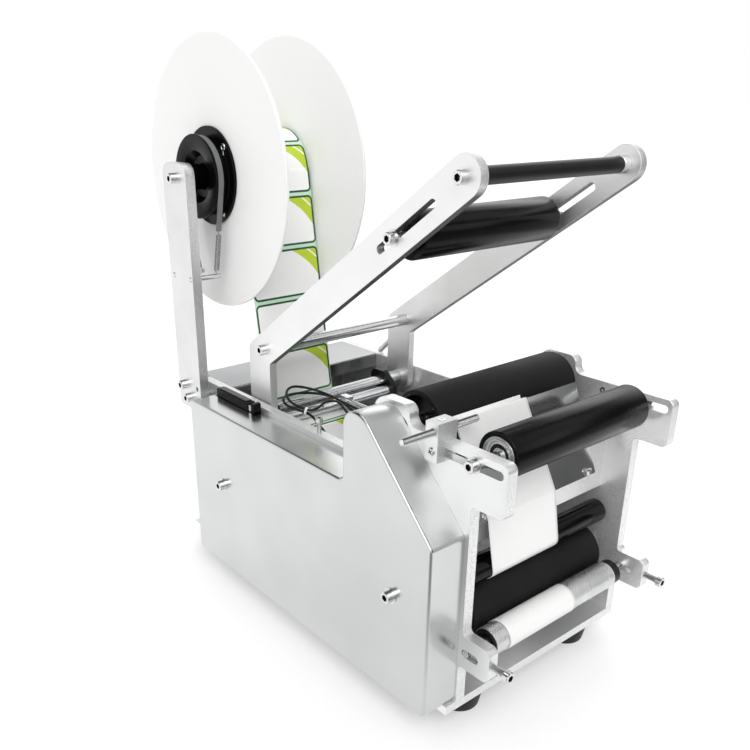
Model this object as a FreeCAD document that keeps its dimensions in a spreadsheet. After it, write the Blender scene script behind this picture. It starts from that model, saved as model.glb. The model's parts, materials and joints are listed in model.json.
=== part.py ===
"""Semi-automatic round bottle labelling machine, modelled as separate pieces in millimetres.

The machine datum is the lower front corner of the left casing, on top of the base plate:
X runs across the machine, Y from the rollers to the back, Z up. Each piece is built on that
datum and its Placement moves the datum so that the origin lies under the middle of the machine.
"""
import FreeCAD, Part
import math
import os
import Sketcher
from FreeCAD import Vector

doc = FreeCAD.newDocument("bottle_labeller")
sheet = doc.addObject("Spreadsheet::Sheet", "Sizes")

SIZES = [
    # where the origin lies, seen from the machine datum
    ("origin_across", 126.75), ("origin_back", 227.6),
    # base and feet
    ("base_thick", 8), ("base_left", 24), ("foot_height", 20), ("foot_top", 44), ("foot_bottom", 36),
    ("foot_inset_side", 41), ("foot_inset_front", 23), ("foot_inset_rear", 23),
    # casing
    ("casing_width", 35.5), ("casing_length", 350), ("casing_height", 171.7), ("sheet_thick", 1.5),
    ("hump_height", 234.5), ("hump_back", 102.3), ("slope_start", 152.8), ("slope_run", 78),
    ("casing_round", 6), ("hump_round", 14),
    # side plates
    ("plate_thick", 10), ("inner_width", 198), ("plate_front", 1.2), ("plate_rear", 406),
    ("plate_height", 176.7), ("plate_hump_top", 238), ("plate_hump_back", 105), ("plate_hump_front", 64),
    ("arm_top", 222), ("arm_under", 179.5), ("arm_reach", 35), ("throat_front", 3.6),
    ("lower_arm_top", 66), ("lower_arm_under", 36.5), ("lower_arm_reach", 32),
    ("stud_back", 185.3), ("plate_corner", 6), ("plate_inner_corner", 4), ("plate_curve", 8),
    ("plate_hump_round", 14),
    # running shafts and their bearings
    ("shaft_dia", 12), ("bearing_dia", 28), ("bearing_width", 8), ("fit", 0.05), ("gap", 0.3),
    # big rollers
    ("roller_dia", 53), ("rubber_thick", 2), ("tube_wall", 2), ("roller_start", 13.5), ("roller_end", 14.5),
    ("hub_inset", 14), ("hub_thick", 6),
    ("drive_back", 77.8), ("drive_up", 215), ("traction_back", 31), ("traction_up", 60),
    # front idler
    ("idler_dia", 38), ("idler_rubber", 4), ("idler_back", 4), ("slot_up", 213), ("idler_start", 15),
    ("idler_end", 15.5), ("rod_dia", 8), ("small_bearing_dia", 22), ("small_bearing_width", 7),
    ("slot_width", 7), ("slot_front", 31), ("slot_rear", 27),
    ("bolt_dia", 6), ("bolt_head", 10), ("bolt_head_high", 5), ("washer_dia", 13), ("washer_thick", 1.5),
    # guide roller under the peel plate
    ("guide_dia", 22), ("guide_back", 21), ("guide_up", 100), ("guide_start", 4.5), ("guide_end", 4.5),
    # knurled press roller
    ("knurl_dia", 24.3), ("knurl_up", 51), ("knurl_start", 13.1), ("knurl_end", 14),
    ("knurl_cap", 9), ("knurl_end_dia", 6.4), ("lower_slot_front", 20.8), ("paper_thick", 0.4),
    ("adjuster_stand", 12.5), ("spring_wire", 0.9), ("spring_dia", 5.6),
    # bar and peel plate
    ("bar_thick", 10), ("bar_bottom", 122), ("bar_top", 168),
    ("peel_thick", 1.5), ("peel_left_gap", 17), ("peel_right_gap", 25),
    ("peel_edge_back", 45), ("peel_edge_up", 224),
    ("peel_foot_back", 13.5), ("peel_foot_up", 147), ("peel_screw_in", 10.5), ("peel_screw_up", 151),
    # arm
    ("arm_plate", 8), ("arm_side_gap", 2.5), ("arm_bar_width", 30.8), ("arm_leg_width", 35),
    ("pivot_back", 291), ("pivot_up", 163), ("elbow_up", 224), ("handle_back", 33.5), ("handle_up", 406.3),
    ("arm_slot_near", 34), ("arm_slot_far", 101), ("press_at", 83), ("press_dia", 37.5), ("press_start", 19.5),
    ("press_end", 19.5), ("grip_dia", 13), ("cross_rod_back", 282), ("cross_rod_up", 230.5),
    ("elbow_round", 12), ("guide_thick", 3.1), ("arm_spring_back", 341), ("arm_spring_gap", 6),
    # reel
    ("post_thick", 10), ("post_stand", 10), ("post_width", 45), ("post_bottom", 150), ("post_top", 398.5),
    ("spare_hole_back", 362), ("spare_hole_up", 175), ("spare_hole_dia", 5),
    ("reel_back", 377.5), ("reel_up", 384.5), ("disc_dia", 256), ("disc_thick", 3), ("disc_start", 57),
    ("web_left", 60), ("web_width", 84), ("core_dia", 76), ("roll_dia", 87.4), ("drum_dia", 74.4),
    ("drum_rim", 79), ("drum_flange", 93), ("drum_start", 38.5), ("band_width", 5.6), ("band_thick", 0.8),
    ("pin_dia", 5), ("pin_up", 290), ("front_pin_back", 359), ("rear_pin_back", 392),
    # rods near the pivot and the bed
    ("threaded_back", 281.5), ("threaded_up", 165.8), ("smooth_back", 275.5), ("smooth_up", 156.8), ("slim_rod", 6),
    ("lift_up", 174.8), ("liner_left", 68), ("liner_width", 85),
    ("turn_rod_back", 236), ("turn_rod_up", 100), ("turn_rod_dia", 10),
    ("bed_front", 252), ("bed_round", 2), ("bed_length", 12), ("bed_thick", 8), ("bed_up", 149.2),
    # transmission
    ("pulley_dia", 19), ("pulley_width", 9), ("belt_thick", 1.5), ("belt_width", 8), ("motor_back", 140),
    ("motor_up", 60), ("gearbox_size", 66), ("gearbox_length", 45), ("motor_dia", 60), ("motor_length", 78),
    # bottle stop
    ("stop_front", 25), ("stop_length", 13), ("stop_top", 237), ("stop_bottom", 206), ("stop_side", 8.5),
    ("stop_rod_back", 30.5), ("stop_rod_up", 229.5), ("stop_rod_length", 79),
    # sensor
    ("amp_width", 10), ("amp_front", 270), ("amp_length", 71), ("amp_top", 181.5), ("amp_high", 34),
    ("sensor_across", 137), ("sensor_up", 162.5), ("sensor_front", 222), ("sensor_length", 46),
    ("cable_dia", 2.6),
    # rear cover and electrics
    ("cover_front", 339.5), ("cover_fold", 16),
    ("supply_width", 98), ("supply_length", 82), ("supply_high", 38),
    ("inlet_width", 28), ("inlet_high", 20), ("inlet_deep", 22), ("switch_width", 21), ("switch_high", 15),
]

for row, (name, number) in enumerate(SIZES, start=1):
    sheet.set(f"A{row}", name)
    sheet.set(f"B{row}", str(number))
    sheet.setAlias(f"B{row}", name)
doc.recompute()


class Size:
    """A number together with the expression that ties an object's property to the sheet."""

    def __init__(self, value, text):
        self.value = float(value)
        self.text = text

    def __add__(self, other):
        other = size(other)
        return Size(self.value + other.value, f"({self.text} + {other.text})")

    def __sub__(self, other):
        other = size(other)
        return Size(self.value - other.value, f"({self.text} - {other.text})")

    def __mul__(self, other):
        other = size(other)
        return Size(self.value * other.value, f"({self.text} * {other.text})")

    def __truediv__(self, other):
        other = size(other)
        return Size(self.value / other.value, f"({self.text} / {other.text})")

    def __neg__(self):
        return Size(-self.value, f"(0 - {self.text})")

    __radd__ = __add__
    __rmul__ = __mul__

    def __rsub__(self, other):
        return size(other) - self


def size(number):
    return number if isinstance(number, Size) else Size(number, f"{float(number):.6f}")


class Named:
    """Reads a cell of the sheet by its name."""

    def __getattr__(self, name):
        return Size(getattr(sheet, name), f"Sizes.{name}")


S = Named()
parts = []
starts = {}


# ---------------------------------------------------------------------------------------------
# small building helpers

def bind(item, prop, amount):
    """Ties one property to the sheet."""
    amount = size(amount)
    item.setExpression(prop, amount.text)


def move_to(item, place):
    for axis, amount in zip("xyz", place):
        bind(item, f"Placement.Base.{axis}", amount)


def machine_place(x=0.0, y=0.0, z=0.0):
    """A point given from the machine datum, seen from the part's origin."""
    return (size(x) - S.origin_across, size(y) - S.origin_back, size(z) + S.foot_height + S.base_thick)


def finish_part(item, name, x=0.0, y=0.0, z=0.0):
    """Names a finished piece and puts it in its place."""
    item.Label = name
    start = starts.get(item.Name, (0.0, 0.0, 0.0))
    move_to(item, machine_place(*[size(a) + b for a, b in zip(start, (x, y, z))]))
    parts.append(item)
    return item


def box(name, low, lengths):
    item = doc.addObject("Part::Box", name)
    for prop, amount in zip(("Length", "Width", "Height"), lengths):
        bind(item, prop, amount)
    move_to(item, low)
    starts[item.Name] = low
    return item


TURN = {
    "x": FreeCAD.Rotation(Vector(0, 1, 0), 90),
    "y": FreeCAD.Rotation(Vector(1, 0, 0), -90),
    "z": FreeCAD.Rotation(),
}


def rod(name, start, radius, length, along="x"):
    """A plain round bar from its start point in the positive direction of one axis."""
    item = doc.addObject("Part::Cylinder", name)
    bind(item, "Radius", radius)
    bind(item, "Height", length)
    item.Placement = FreeCAD.Placement(Vector(), TURN[along])
    move_to(item, start)
    starts[item.Name] = start
    return item


def join(name, items):
    if len(items) == 1:
        return items[0]
    item = doc.addObject("Part::MultiFuse", name)
    item.Shapes = items
    return item


def group(name, items):
    """Several loose solids kept in one piece of the list, as screws of one kind are."""
    item = doc.addObject("Part::Compound", name)
    item.Links = items
    return item


def cut(name, base, tools):
    item = doc.addObject("Part::Cut", name)
    item.Base = base
    item.Tool = join(name + "_tools", tools)
    return item


def origin_plane(body, role):
    return next(item for item in body.Origin.OriginFeatures if item.Role == role)


def new_body(name):
    return doc.addObject("PartDesign::Body", name)


def new_sketch(body, name, role, offset=0.0):
    sketch = body.newObject("Sketcher::SketchObject", name)
    sketch.AttachmentSupport = [(origin_plane(body, role), "")]
    sketch.MapMode = "FlatFace"
    bind(sketch, "AttachmentOffset.Base.z", offset)
    return sketch


def pin_point(sketch, shape, end, point):
    """Holds one point of a sketch at sizes read from the sheet."""
    for kind, amount in zip(("DistanceX", "DistanceY"), point):
        amount = size(amount)
        index = sketch.addConstraint(Sketcher.Constraint(kind, -1, 1, shape, end, amount.value))
        sketch.setExpression(f"Constraints[{index}]", amount.text)


def draw_outline(sketch, points):
    """A closed outline of straight lines with every corner held."""
    first = sketch.GeometryCount
    flat = [Vector(size(a).value, size(b).value, 0) for a, b in points]
    for near, far in zip(flat, flat[1:] + flat[:1]):
        sketch.addGeometry(Part.LineSegment(near, far))
    for index in range(len(points)):
        after = first + (index + 1) % len(points)
        sketch.addConstraint(Sketcher.Constraint("Coincident", first + index, 2, after, 1))
    for index, point in enumerate(points):
        pin_point(sketch, first + index, 1, point)


def draw_circle(sketch, centre, radius):
    radius = size(radius)
    middle = Vector(size(centre[0]).value, size(centre[1]).value, 0)
    index = sketch.addGeometry(Part.Circle(middle, Vector(0, 0, 1), radius.value))
    pin_point(sketch, index, 3, centre)
    held = sketch.addConstraint(Sketcher.Constraint("Radius", index, radius.value))
    sketch.setExpression(f"Constraints[{held}]", radius.text)


def draw_slot(sketch, near, far, width):
    """A slot with round ends; near and far are the centres of its ends."""
    half = size(width) / 2
    ends = [Vector(size(p[0]).value, size(p[1]).value, 0) for p in (near, far)]
    side = (ends[1] - ends[0]).normalize().cross(Vector(0, 0, 1)) * half.value
    along = (ends[1] - ends[0]).normalize() * half.value
    first = sketch.addGeometry(Part.LineSegment(ends[0] + side, ends[1] + side))
    sketch.addGeometry(Part.Arc(ends[1] + side, ends[1] + along, ends[1] - side))
    sketch.addGeometry(Part.LineSegment(ends[1] - side, ends[0] - side))
    sketch.addGeometry(Part.Arc(ends[0] - side, ends[0] - along, ends[0] + side))
    sketch.addConstraint(Sketcher.Constraint("Tangent", first, 2, first + 1, 1))
    sketch.addConstraint(Sketcher.Constraint("Tangent", first + 1, 2, first + 2, 1))
    sketch.addConstraint(Sketcher.Constraint("Tangent", first + 2, 2, first + 3, 1))
    sketch.addConstraint(Sketcher.Constraint("Tangent", first + 3, 2, first, 1))
    pin_point(sketch, first + 3, 3, near)
    pin_point(sketch, first + 1, 3, far)
    held = sketch.addConstraint(Sketcher.Constraint("Radius", first + 1, half.value))
    sketch.setExpression(f"Constraints[{held}]", half.text)


def pad(body, sketch, length, name="Pad"):
    item = body.newObject("PartDesign::Pad", name)
    item.Profile = sketch
    bind(item, "Length", length)
    doc.recompute()
    return item


def pocket(body, sketch, length, name="Pocket", both=True):
    """A cut to both sides of its sketch, so that it never points away from the solid."""
    before = body.Shape.Volume
    item = body.newObject("PartDesign::Pocket", name)
    item.Profile = sketch
    item.Midplane = both
    bind(item, "Length", length)
    doc.recompute()
    if body.Shape.Volume >= before:
        raise RuntimeError(f"{body.Name}: {name} cut nothing")
    return item


def turned(name, outline):
    """A body turned about X from its half outline of (x, radius) points."""
    body = new_body(name)
    sketch = new_sketch(body, name + "_outline", "XY_Plane")
    draw_outline(sketch, outline)
    item = body.newObject("PartDesign::Revolution", name + "_turned")
    item.Profile = sketch
    item.ReferenceAxis = (sketch, ["H_Axis"])
    item.Angle = 360
    doc.recompute()
    return body


def edges_along_x(shape, corners):
    """Names of the straight edges along X that pass through the given (y, z) corners."""
    names = []
    for y, z in corners:
        spot = (size(y).value, size(z).value)
        for index, edge in enumerate(shape.Edges, start=1):
            ends = [vertex.Point for vertex in edge.Vertexes]
            if len(ends) == 2 and all(math.hypot(p.y - spot[0], p.z - spot[1]) < 0.01 for p in ends):
                names.append(f"Edge{index}")
    return names


def round_corners(body, corners, radius, name):
    tip = body.Tip
    item = body.newObject("PartDesign::Fillet", name)
    item.Base = (tip, edges_along_x(tip.Shape, corners))
    bind(item, "Radius", radius)
    doc.recompute()
    return item


def shape_part(name, shape):
    """A piece whose shape is worked out with Part's own functions from the sheet's sizes."""
    item = doc.addObject("Part::Feature", name)
    item.Shape = shape
    return item


# A path round rollers: each entry is (y, z, turn), where turn is the roller's radius, positive when
# the path goes round it to the left and negative when it goes round to the right.

def tangent_path(rollers, left, closed=False):
    count = len(rollers)
    across = size(left).value
    spots = [(Vector(across, size(y).value, size(z).value), size(turn).value) for y, z, turn in rollers]
    runs = []
    for index in range(count if closed else count - 1):
        (near, near_turn), (far, far_turn) = spots[index], spots[(index + 1) % count]
        reach = far - near
        heading = math.atan2(reach.z, reach.y)
        normal = heading + math.acos((far_turn - near_turn) / reach.Length)
        side = Vector(0, math.cos(normal), math.sin(normal))
        runs.append((near - side * near_turn, far - side * far_turn))
    edges = []
    for index, (start, end) in enumerate(runs):
        edges.append(Part.LineSegment(start, end).toShape())
        if index + 1 == len(runs) and not closed:
            break
        centre, turn = spots[(index + 1) % count]
        edges.append(arc_between(centre, turn, end, runs[(index + 1) % len(runs)][0]))
    return edges


def arc_between(centre, turn, start, end):
    first = math.atan2(start.z - centre.z, start.y - centre.y)
    last = math.atan2(end.z - centre.z, end.y - centre.y)
    sweep = (last - first) % (2 * math.pi) if turn > 0 else -((first - last) % (2 * math.pi))
    middle = first + sweep / 2
    point = centre + Vector(0, math.cos(middle), math.sin(middle)) * abs(turn)
    return Part.Arc(start, point, end).toShape()


def ribbon(rollers, thick, left, width, closed=False):
    """A flat strip of one thickness, laid along a path; it grows to the left of the path."""
    thick = size(thick)
    inner = tangent_path(rollers, left, closed)
    outer = tangent_path([(y, z, size(turn) - thick) for y, z, turn in rollers], left, closed)
    if closed:
        wires = [Part.Wire(outer), Part.Wire(inner)]
        wires.sort(key=lambda wire: wire.BoundBox.DiagonalLength, reverse=True)
        face = Part.Face(wires[0]).cut(Part.Face(wires[1])).Faces[0]
    else:
        ends = [(inner[0].Vertexes[0].Point, outer[0].Vertexes[0].Point),
                (inner[-1].Vertexes[-1].Point, outer[-1].Vertexes[-1].Point)]
        caps = [Part.LineSegment(a, b).toShape() for a, b in ends]
        face = Part.Face(Part.Wire(Part.__sortEdges__(inner + outer + caps)))
    return face.extrude(Vector(size(width).value, 0, 0))


def root_of(amount):
    return Size(math.sqrt(amount.value), f"sqrt({amount.text})")


# ---------------------------------------------------------------------------------------------
# datums that several pieces share

floor = -(S.foot_height + S.base_thick)
inside_left = S.casing_width + S.plate_thick
inside_right = inside_left + S.inner_width
right_face = inside_right + S.plate_thick
shaft_radius = S.shaft_dia / 2
bore_fit = S.fit
roller_left = inside_left + S.roller_start
plate_middle_left = S.casing_width + S.plate_thick / 2
plate_middle_right = inside_right + S.plate_thick / 2
slot_centre_front = S.slot_width / 2 - S.slot_front
slot_centre_rear = S.slot_rear - S.slot_width / 2
drive = (S.drive_back, S.drive_up)
traction = (S.traction_back, S.traction_up)
guide = (S.guide_back, S.guide_up)
idler = (-S.idler_back, S.slot_up)
# the knurled roller presses the liner against the traction roller
nip_reach = S.roller_dia / 2 + S.knurl_dia / 2 + S.paper_thick + 2 * S.gap
nip_rise = S.traction_up - S.knurl_up
knurl = (S.traction_back - root_of(nip_reach * nip_reach - nip_rise * nip_rise), S.knurl_up)
pivot = (S.pivot_back, S.pivot_up)
handle = (S.handle_back, S.handle_up)
reel = (S.reel_back, S.reel_up)
threaded = (S.threaded_back, S.threaded_up)
smooth = (S.smooth_back, S.smooth_up)
turn_rod = (S.turn_rod_back, S.turn_rod_up)
post_left = S.casing_width - S.post_stand - S.post_thick
guide_left = inside_left + S.arm_side_gap + S.arm_plate + 0.5
guide_right = inside_left + 159
outer_belt_x = S.sheet_thick + 8
inner_belt_x = outer_belt_x + S.pulley_width + 3

# the inclined peel plate; the bar behind it meets it at the bar's top edge
peel_rise = S.peel_edge_up - S.peel_foot_up
peel_run = S.peel_edge_back - S.peel_foot_back
peel_slope = root_of(peel_rise * peel_rise + peel_run * peel_run)
# one step square to the plate towards the back, and one step along it upwards
peel_back = (peel_rise / peel_slope, -(peel_run / peel_slope))
peel_along = (peel_run / peel_slope, peel_rise / peel_slope)
peel_left = inside_left + S.peel_left_gap
peel_width = inside_right - S.peel_right_gap - peel_left


def behind_peel(up, distance):
    """How far back a point lies that is this distance behind the plate's front face, at this height."""
    return S.peel_foot_back + (size(up) - S.peel_foot_up) * peel_run / peel_rise + size(distance) / peel_back[0]


bar_front = behind_peel(S.bar_top, S.peel_thick)
lifting = (behind_peel(S.lift_up, S.peel_thick + S.paper_thick + 2 * S.gap + S.rod_dia / 2), S.lift_up)
wall_screws = ((292.4, 96.1), (41.9, 94.8))
post_screws = ((388, 174), (378, 162))


# ---------------------------------------------------------------------------------------------
# base, feet, casing and frame

def base_plate():
    body = new_body("base_plate_body")
    sketch = new_sketch(body, "base_outline", "XY_Plane")
    draw_outline(sketch, [(S.base_left, -S.plate_front), (right_face, -S.plate_front),
                          (right_face, S.plate_rear), (S.base_left, S.plate_rear)])
    pad(body, sketch, S.base_thick)
    finish_part(body, "base_plate", 0, 0, -S.base_thick)


def foot_places():
    left = S.base_left + S.foot_inset_side
    right = right_face - S.foot_inset_side
    front = S.foot_inset_front
    rear = S.plate_rear - S.foot_inset_rear
    return [(left, front), (right, front), (left, rear), (right, rear)]


def rubber_feet():
    feet = []
    for index, (x, y) in enumerate(foot_places()):
        foot = doc.addObject("Part::Cone", f"foot_{index}")
        bind(foot, "Radius1", S.foot_bottom / 2)
        bind(foot, "Radius2", S.foot_top / 2)
        bind(foot, "Height", S.foot_height)
        move_to(foot, (x, y, floor))
        feet.append(foot)
    finish_part(group("foot_group", feet), "rubber_feet")


def left_casing():
    top = S.casing_height
    hump = S.hump_height
    slope_top = S.slope_run
    outline = [(0, 0), (S.casing_length, 0), (S.casing_length, top), (S.hump_back, top),
               (S.hump_back, hump), (slope_top, hump), (0, S.slope_start)]
    body = new_body("left_casing_body")
    sketch = new_sketch(body, "casing_outline", "YZ_Plane")
    draw_outline(sketch, outline)
    pad(body, sketch, S.casing_width)
    round_corners(body, [outline[4]], S.hump_round, "hump_back_round")
    round_corners(body, [outline[5]], S.hump_round * 1.4, "hump_front_round")
    round_corners(body, [outline[0], outline[1], outline[2], outline[3], outline[6]],
                  S.casing_round, "casing_rounds")
    shell = body.newObject("PartDesign::Thickness", "casing_shell")
    tip = body.Shape
    open_side = max(range(len(tip.Faces)), key=lambda index: tip.Faces[index].CenterOfMass.x)
    shell.Base = (doc.getObject("casing_rounds"), [f"Face{open_side + 1}"])
    bind(shell, "Value", S.sheet_thick)
    shell.Reversed = True
    shell.Join = 0
    doc.recompute()
    slot = new_sketch(body, "amplifier_slot", "XY_Plane", top)
    amp_left = S.casing_width - S.amp_width - S.gap
    draw_outline(slot, [(amp_left, S.amp_front - 2), (S.casing_width + 1, S.amp_front - 2),
                        (S.casing_width + 1, S.amp_front + S.amp_length + 2),
                        (amp_left, S.amp_front + S.amp_length + 2)])
    pocket(body, slot, S.sheet_thick * 4, "amplifier_cut")
    holes = new_sketch(body, "wall_holes", "YZ_Plane")
    for spot in wall_screws:
        draw_circle(holes, spot, S.bolt_dia / 2 + bore_fit)
    pocket(body, holes, S.sheet_thick * 4, "wall_hole_cut")
    finish_part(body, "left_casing")


def side_plate_outline():
    front = -S.plate_front
    return [(front, 0), (S.plate_rear, 0), (S.plate_rear, S.plate_height),
            (S.plate_hump_back, S.plate_height), (S.plate_hump_back, S.plate_hump_top),
            (S.plate_hump_front, S.plate_hump_top), (S.plate_hump_front, S.arm_top),
            (-S.arm_reach, S.arm_top), (-S.arm_reach, S.arm_under), (-S.throat_front, S.arm_under),
            (-S.throat_front, S.lower_arm_top), (-S.lower_arm_reach, S.lower_arm_top),
            (-S.lower_arm_reach, S.lower_arm_under), (front, S.lower_arm_under)]


def side_plate(name, x, left):
    outline = side_plate_outline()
    body = new_body(name + "_body")
    sketch = new_sketch(body, name + "_outline", "YZ_Plane")
    draw_outline(sketch, outline)
    pad(body, sketch, S.plate_thick)
    round_corners(body, [outline[4]], S.plate_hump_round, name + "_hump")
    round_corners(body, [outline[5]], S.plate_curve, name + "_crest")
    round_corners(body, [outline[6]], S.plate_curve * 0.98, name + "_curve")
    round_corners(body, [outline[index] for index in (2, 7, 8, 11, 12)], S.plate_corner, name + "_corners")
    round_corners(body, [outline[index] for index in (3, 9, 10, 13)], S.plate_inner_corner, name + "_throat")
    holes = new_sketch(body, name + "_bores", "YZ_Plane")
    for spot in (drive, traction):
        draw_circle(holes, spot, S.bearing_dia / 2)
    draw_circle(holes, guide, S.rod_dia / 2)
    draw_circle(holes, pivot, shaft_radius)
    draw_circle(holes, lifting, S.rod_dia / 2)
    draw_circle(holes, turn_rod, S.turn_rod_dia / 2)
    if left:
        draw_circle(holes, (S.motor_back, S.motor_up), shaft_radius + 1)
        for spot in wall_screws + post_screws:
            draw_circle(holes, spot, S.bolt_dia / 2)
    pocket(body, holes, S.plate_thick * 4, name + "_bore_cut")
    upper = new_sketch(body, name + "_upper_slot", "YZ_Plane")
    draw_slot(upper, (slot_centre_front, S.slot_up), (slot_centre_rear, S.slot_up), S.slot_width)
    pocket(body, upper, S.plate_thick * 4, name + "_upper_cut")
    lower = new_sketch(body, name + "_lower_slot", "YZ_Plane")
    draw_slot(lower, (S.slot_width / 2 - S.lower_slot_front, S.knurl_up), (knurl[0] + 0.5, S.knurl_up),
              S.slot_width)
    pocket(body, lower, S.plate_thick * 4, name + "_lower_cut")
    bolt = new_sketch(body, name + "_adjuster", "XZ_Plane", S.lower_arm_reach + 1)
    draw_circle(bolt, (S.plate_thick / 2, S.knurl_up), S.bolt_dia / 2)
    item = body.newObject("PartDesign::Pocket", name + "_adjuster_cut")
    item.Profile = bolt
    before = body.Shape.Volume
    bind(item, "Length", S.lower_arm_reach - S.lower_slot_front + S.slot_width / 2 + 1)
    doc.recompute()
    if body.Shape.Volume >= before:
        item.Reversed = True
        doc.recompute()
    if body.Shape.Volume >= before:
        raise RuntimeError(name + ": the adjuster hole cut nothing")
    finish_part(body, name, x)


def cross_bar():
    body = new_body("cross_bar_body")
    sketch = new_sketch(body, "cross_bar_outline", "YZ_Plane")
    back = bar_front + S.bar_thick
    draw_outline(sketch, [(bar_front, S.bar_bottom), (back, S.bar_bottom), (back, S.bar_top),
                          (bar_front, S.bar_top)])
    pad(body, sketch, S.inner_width)
    finish_part(body, "cross_bar", inside_left)


def rear_cover():
    top = S.plate_height
    rear = S.plate_rear
    wall = S.sheet_thick
    fold = top - S.cover_fold
    body = new_body("rear_cover_body")
    sketch = new_sketch(body, "rear_cover_outline", "YZ_Plane")
    outline = [(rear, 0), (rear, top), (S.cover_front, top), (S.cover_front, fold),
               (S.cover_front + wall, fold), (S.cover_front + wall, top - wall), (rear - wall, top - wall),
               (rear - wall, 0)]
    draw_outline(sketch, outline)
    pad(body, sketch, S.inner_width)
    round_corners(body, [outline[1], outline[2]], wall * 1.2, "cover_bends")
    openings = new_sketch(body, "cover_openings", "XZ_Plane", -rear)
    for x, z, wide, high in ((inlet_at[0], inlet_at[1], S.inlet_width, S.inlet_high),
                             (switch_at[0], switch_at[1], S.switch_width, S.switch_high)):
        draw_outline(openings, [(x, z), (x + wide, z), (x + wide, z + high), (x, z + high)])
    pocket(body, openings, wall * 6, "cover_opening_cut")
    finish_part(body, "rear_cover", inside_left)


# places of the power inlet and the switch in the rear wall, from the left plate's inner face
inlet_at = (size(140), size(40))
switch_at = (size(143.5), size(78))


# ---------------------------------------------------------------------------------------------
# rollers

def big_roller(name, centre, tip_left, pulleys):
    """A rubber-covered tube on two hubs with a through shaft and its pulleys in the casing."""
    radius = S.roller_dia / 2
    tube = radius - S.rubber_thick
    bore = tube - S.tube_wall
    start = roller_left
    end = inside_right - S.roller_end
    hub_left = start + S.hub_inset
    hub_right = end - S.hub_inset
    core = turned(name + "_core_body", [
        (tip_left, 0), (tip_left, shaft_radius), (hub_left, shaft_radius), (hub_left, bore),
        (start, bore), (start, tube), (end, tube), (end, bore), (hub_right, bore),
        (hub_right, shaft_radius), (right_face - 1, shaft_radius), (right_face - 1, 0)])
    wheels = [pulley(f"{name}_pulley_{index}", x) for index, x in enumerate(pulleys)]
    finish_part(group(name + "_core_group", [core] + wheels), name + "_core", 0, *centre)
    cover = turned(name + "_cover_body", [(start, tube), (start, radius), (end, radius), (end, tube)])
    finish_part(cover, name + "_cover", 0, *centre)


def plate_bearings():
    """Ball bearings of the two big rollers, pressed flush into the inner faces of the plates."""
    rings = []
    for label, centre in (("drive", drive), ("traction", traction)):
        rings += ball_bearings(label, centre, (inside_left - S.bearing_width, inside_right),
                               S.bearing_width, S.bearing_dia, shaft_radius + bore_fit)
    finish_part(group("bearing_group", rings), "plate_bearings")


def pulley(name, x):
    """A timing pulley on the X axis; its teeth are grooves round the rim."""
    radius = S.pulley_dia / 2
    depth = S.belt_thick * 0.8
    teeth = 12
    body = new_body(name + "_body")
    sketch = new_sketch(body, name + "_disc", "YZ_Plane", x)
    draw_circle(sketch, (0, 0), radius)
    draw_circle(sketch, (0, 0), shaft_radius)
    pad(body, sketch, S.pulley_width)
    tooth = new_sketch(body, name + "_tooth", "YZ_Plane", size(x) + S.pulley_width / 2)
    draw_outline(tooth, [(radius - depth, -0.9), (radius + 1, -1.3), (radius + 1, 1.3), (radius - depth, 0.9)])
    groove = pocket(body, tooth, S.pulley_width + 1, name + "_groove")
    pattern = body.newObject("PartDesign::PolarPattern", name + "_teeth")
    pattern.Originals = [groove]
    pattern.Axis = (tooth, ["N_Axis"])
    pattern.Angle = 360
    pattern.Occurrences = teeth
    body.Tip = pattern
    doc.recompute()
    return body


def belt(name, near, far, x):
    """A closed timing belt that runs round two pulleys of one size."""
    turn = S.pulley_dia / 2 + 0.1
    left = x + (S.pulley_width - S.belt_width) / 2
    return shape_part(name, ribbon([(*near, -turn), (*far, -turn)], S.belt_thick, left, S.belt_width, True))


def ball_bearings(name, centre, starts_at, width, dia, bore):
    """A pair of ball bearings on one line, given by the left faces of the two."""
    rings = []
    for index, x in enumerate(starts_at):
        outer = rod(f"{name}_ring_{index}", (x, *centre), dia / 2, width)
        hole = rod(f"{name}_hole_{index}", (x - 1, *centre), bore, width + 2)
        rings.append(cut(f"{name}_bearing_{index}", outer, [hole]))
    return rings


def idler_roller():
    radius = S.idler_dia / 2
    seat = S.small_bearing_dia / 2
    start = inside_left + S.idler_start
    end = inside_right - S.idler_end
    shoulder = S.small_bearing_width + 1
    body = turned("idler_roller_body", [
        (start, seat), (start, radius), (end, radius), (end, seat), (end - shoulder, seat),
        (end - shoulder, seat - 3), (start + shoulder, seat - 3), (start + shoulder, seat)])
    finish_part(body, "idler_roller", 0, *idler)
    rings = ball_bearings("idler", idler, (start + 1, end - shoulder), S.small_bearing_width,
                          S.small_bearing_dia, S.rod_dia / 2 + bore_fit)
    finish_part(group("idler_rings", rings), "idler_bearings")


def clamp_bolt(name, x, centre, outward, reach):
    """A flange bolt with its washer, turned about X; outward is -1 for a head on the left."""
    head = S.bolt_head / 2
    flange = S.washer_dia / 2
    shank = S.bolt_dia / 2
    face = size(x)
    under = face + S.washer_thick * outward
    top = under + S.bolt_head_high * outward
    tip = face - size(reach) * outward
    outline = [(tip, 0), (tip, shank), (face, shank), (face, flange), (under, flange), (under, head),
               (top, head), (top, 0)]
    return turned(name, outline), centre


def place_bolt(made):
    body, centre = made
    for axis, amount in zip("yz", centre):
        bind(body, f"Placement.Base.{axis}", amount)
    return body


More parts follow.
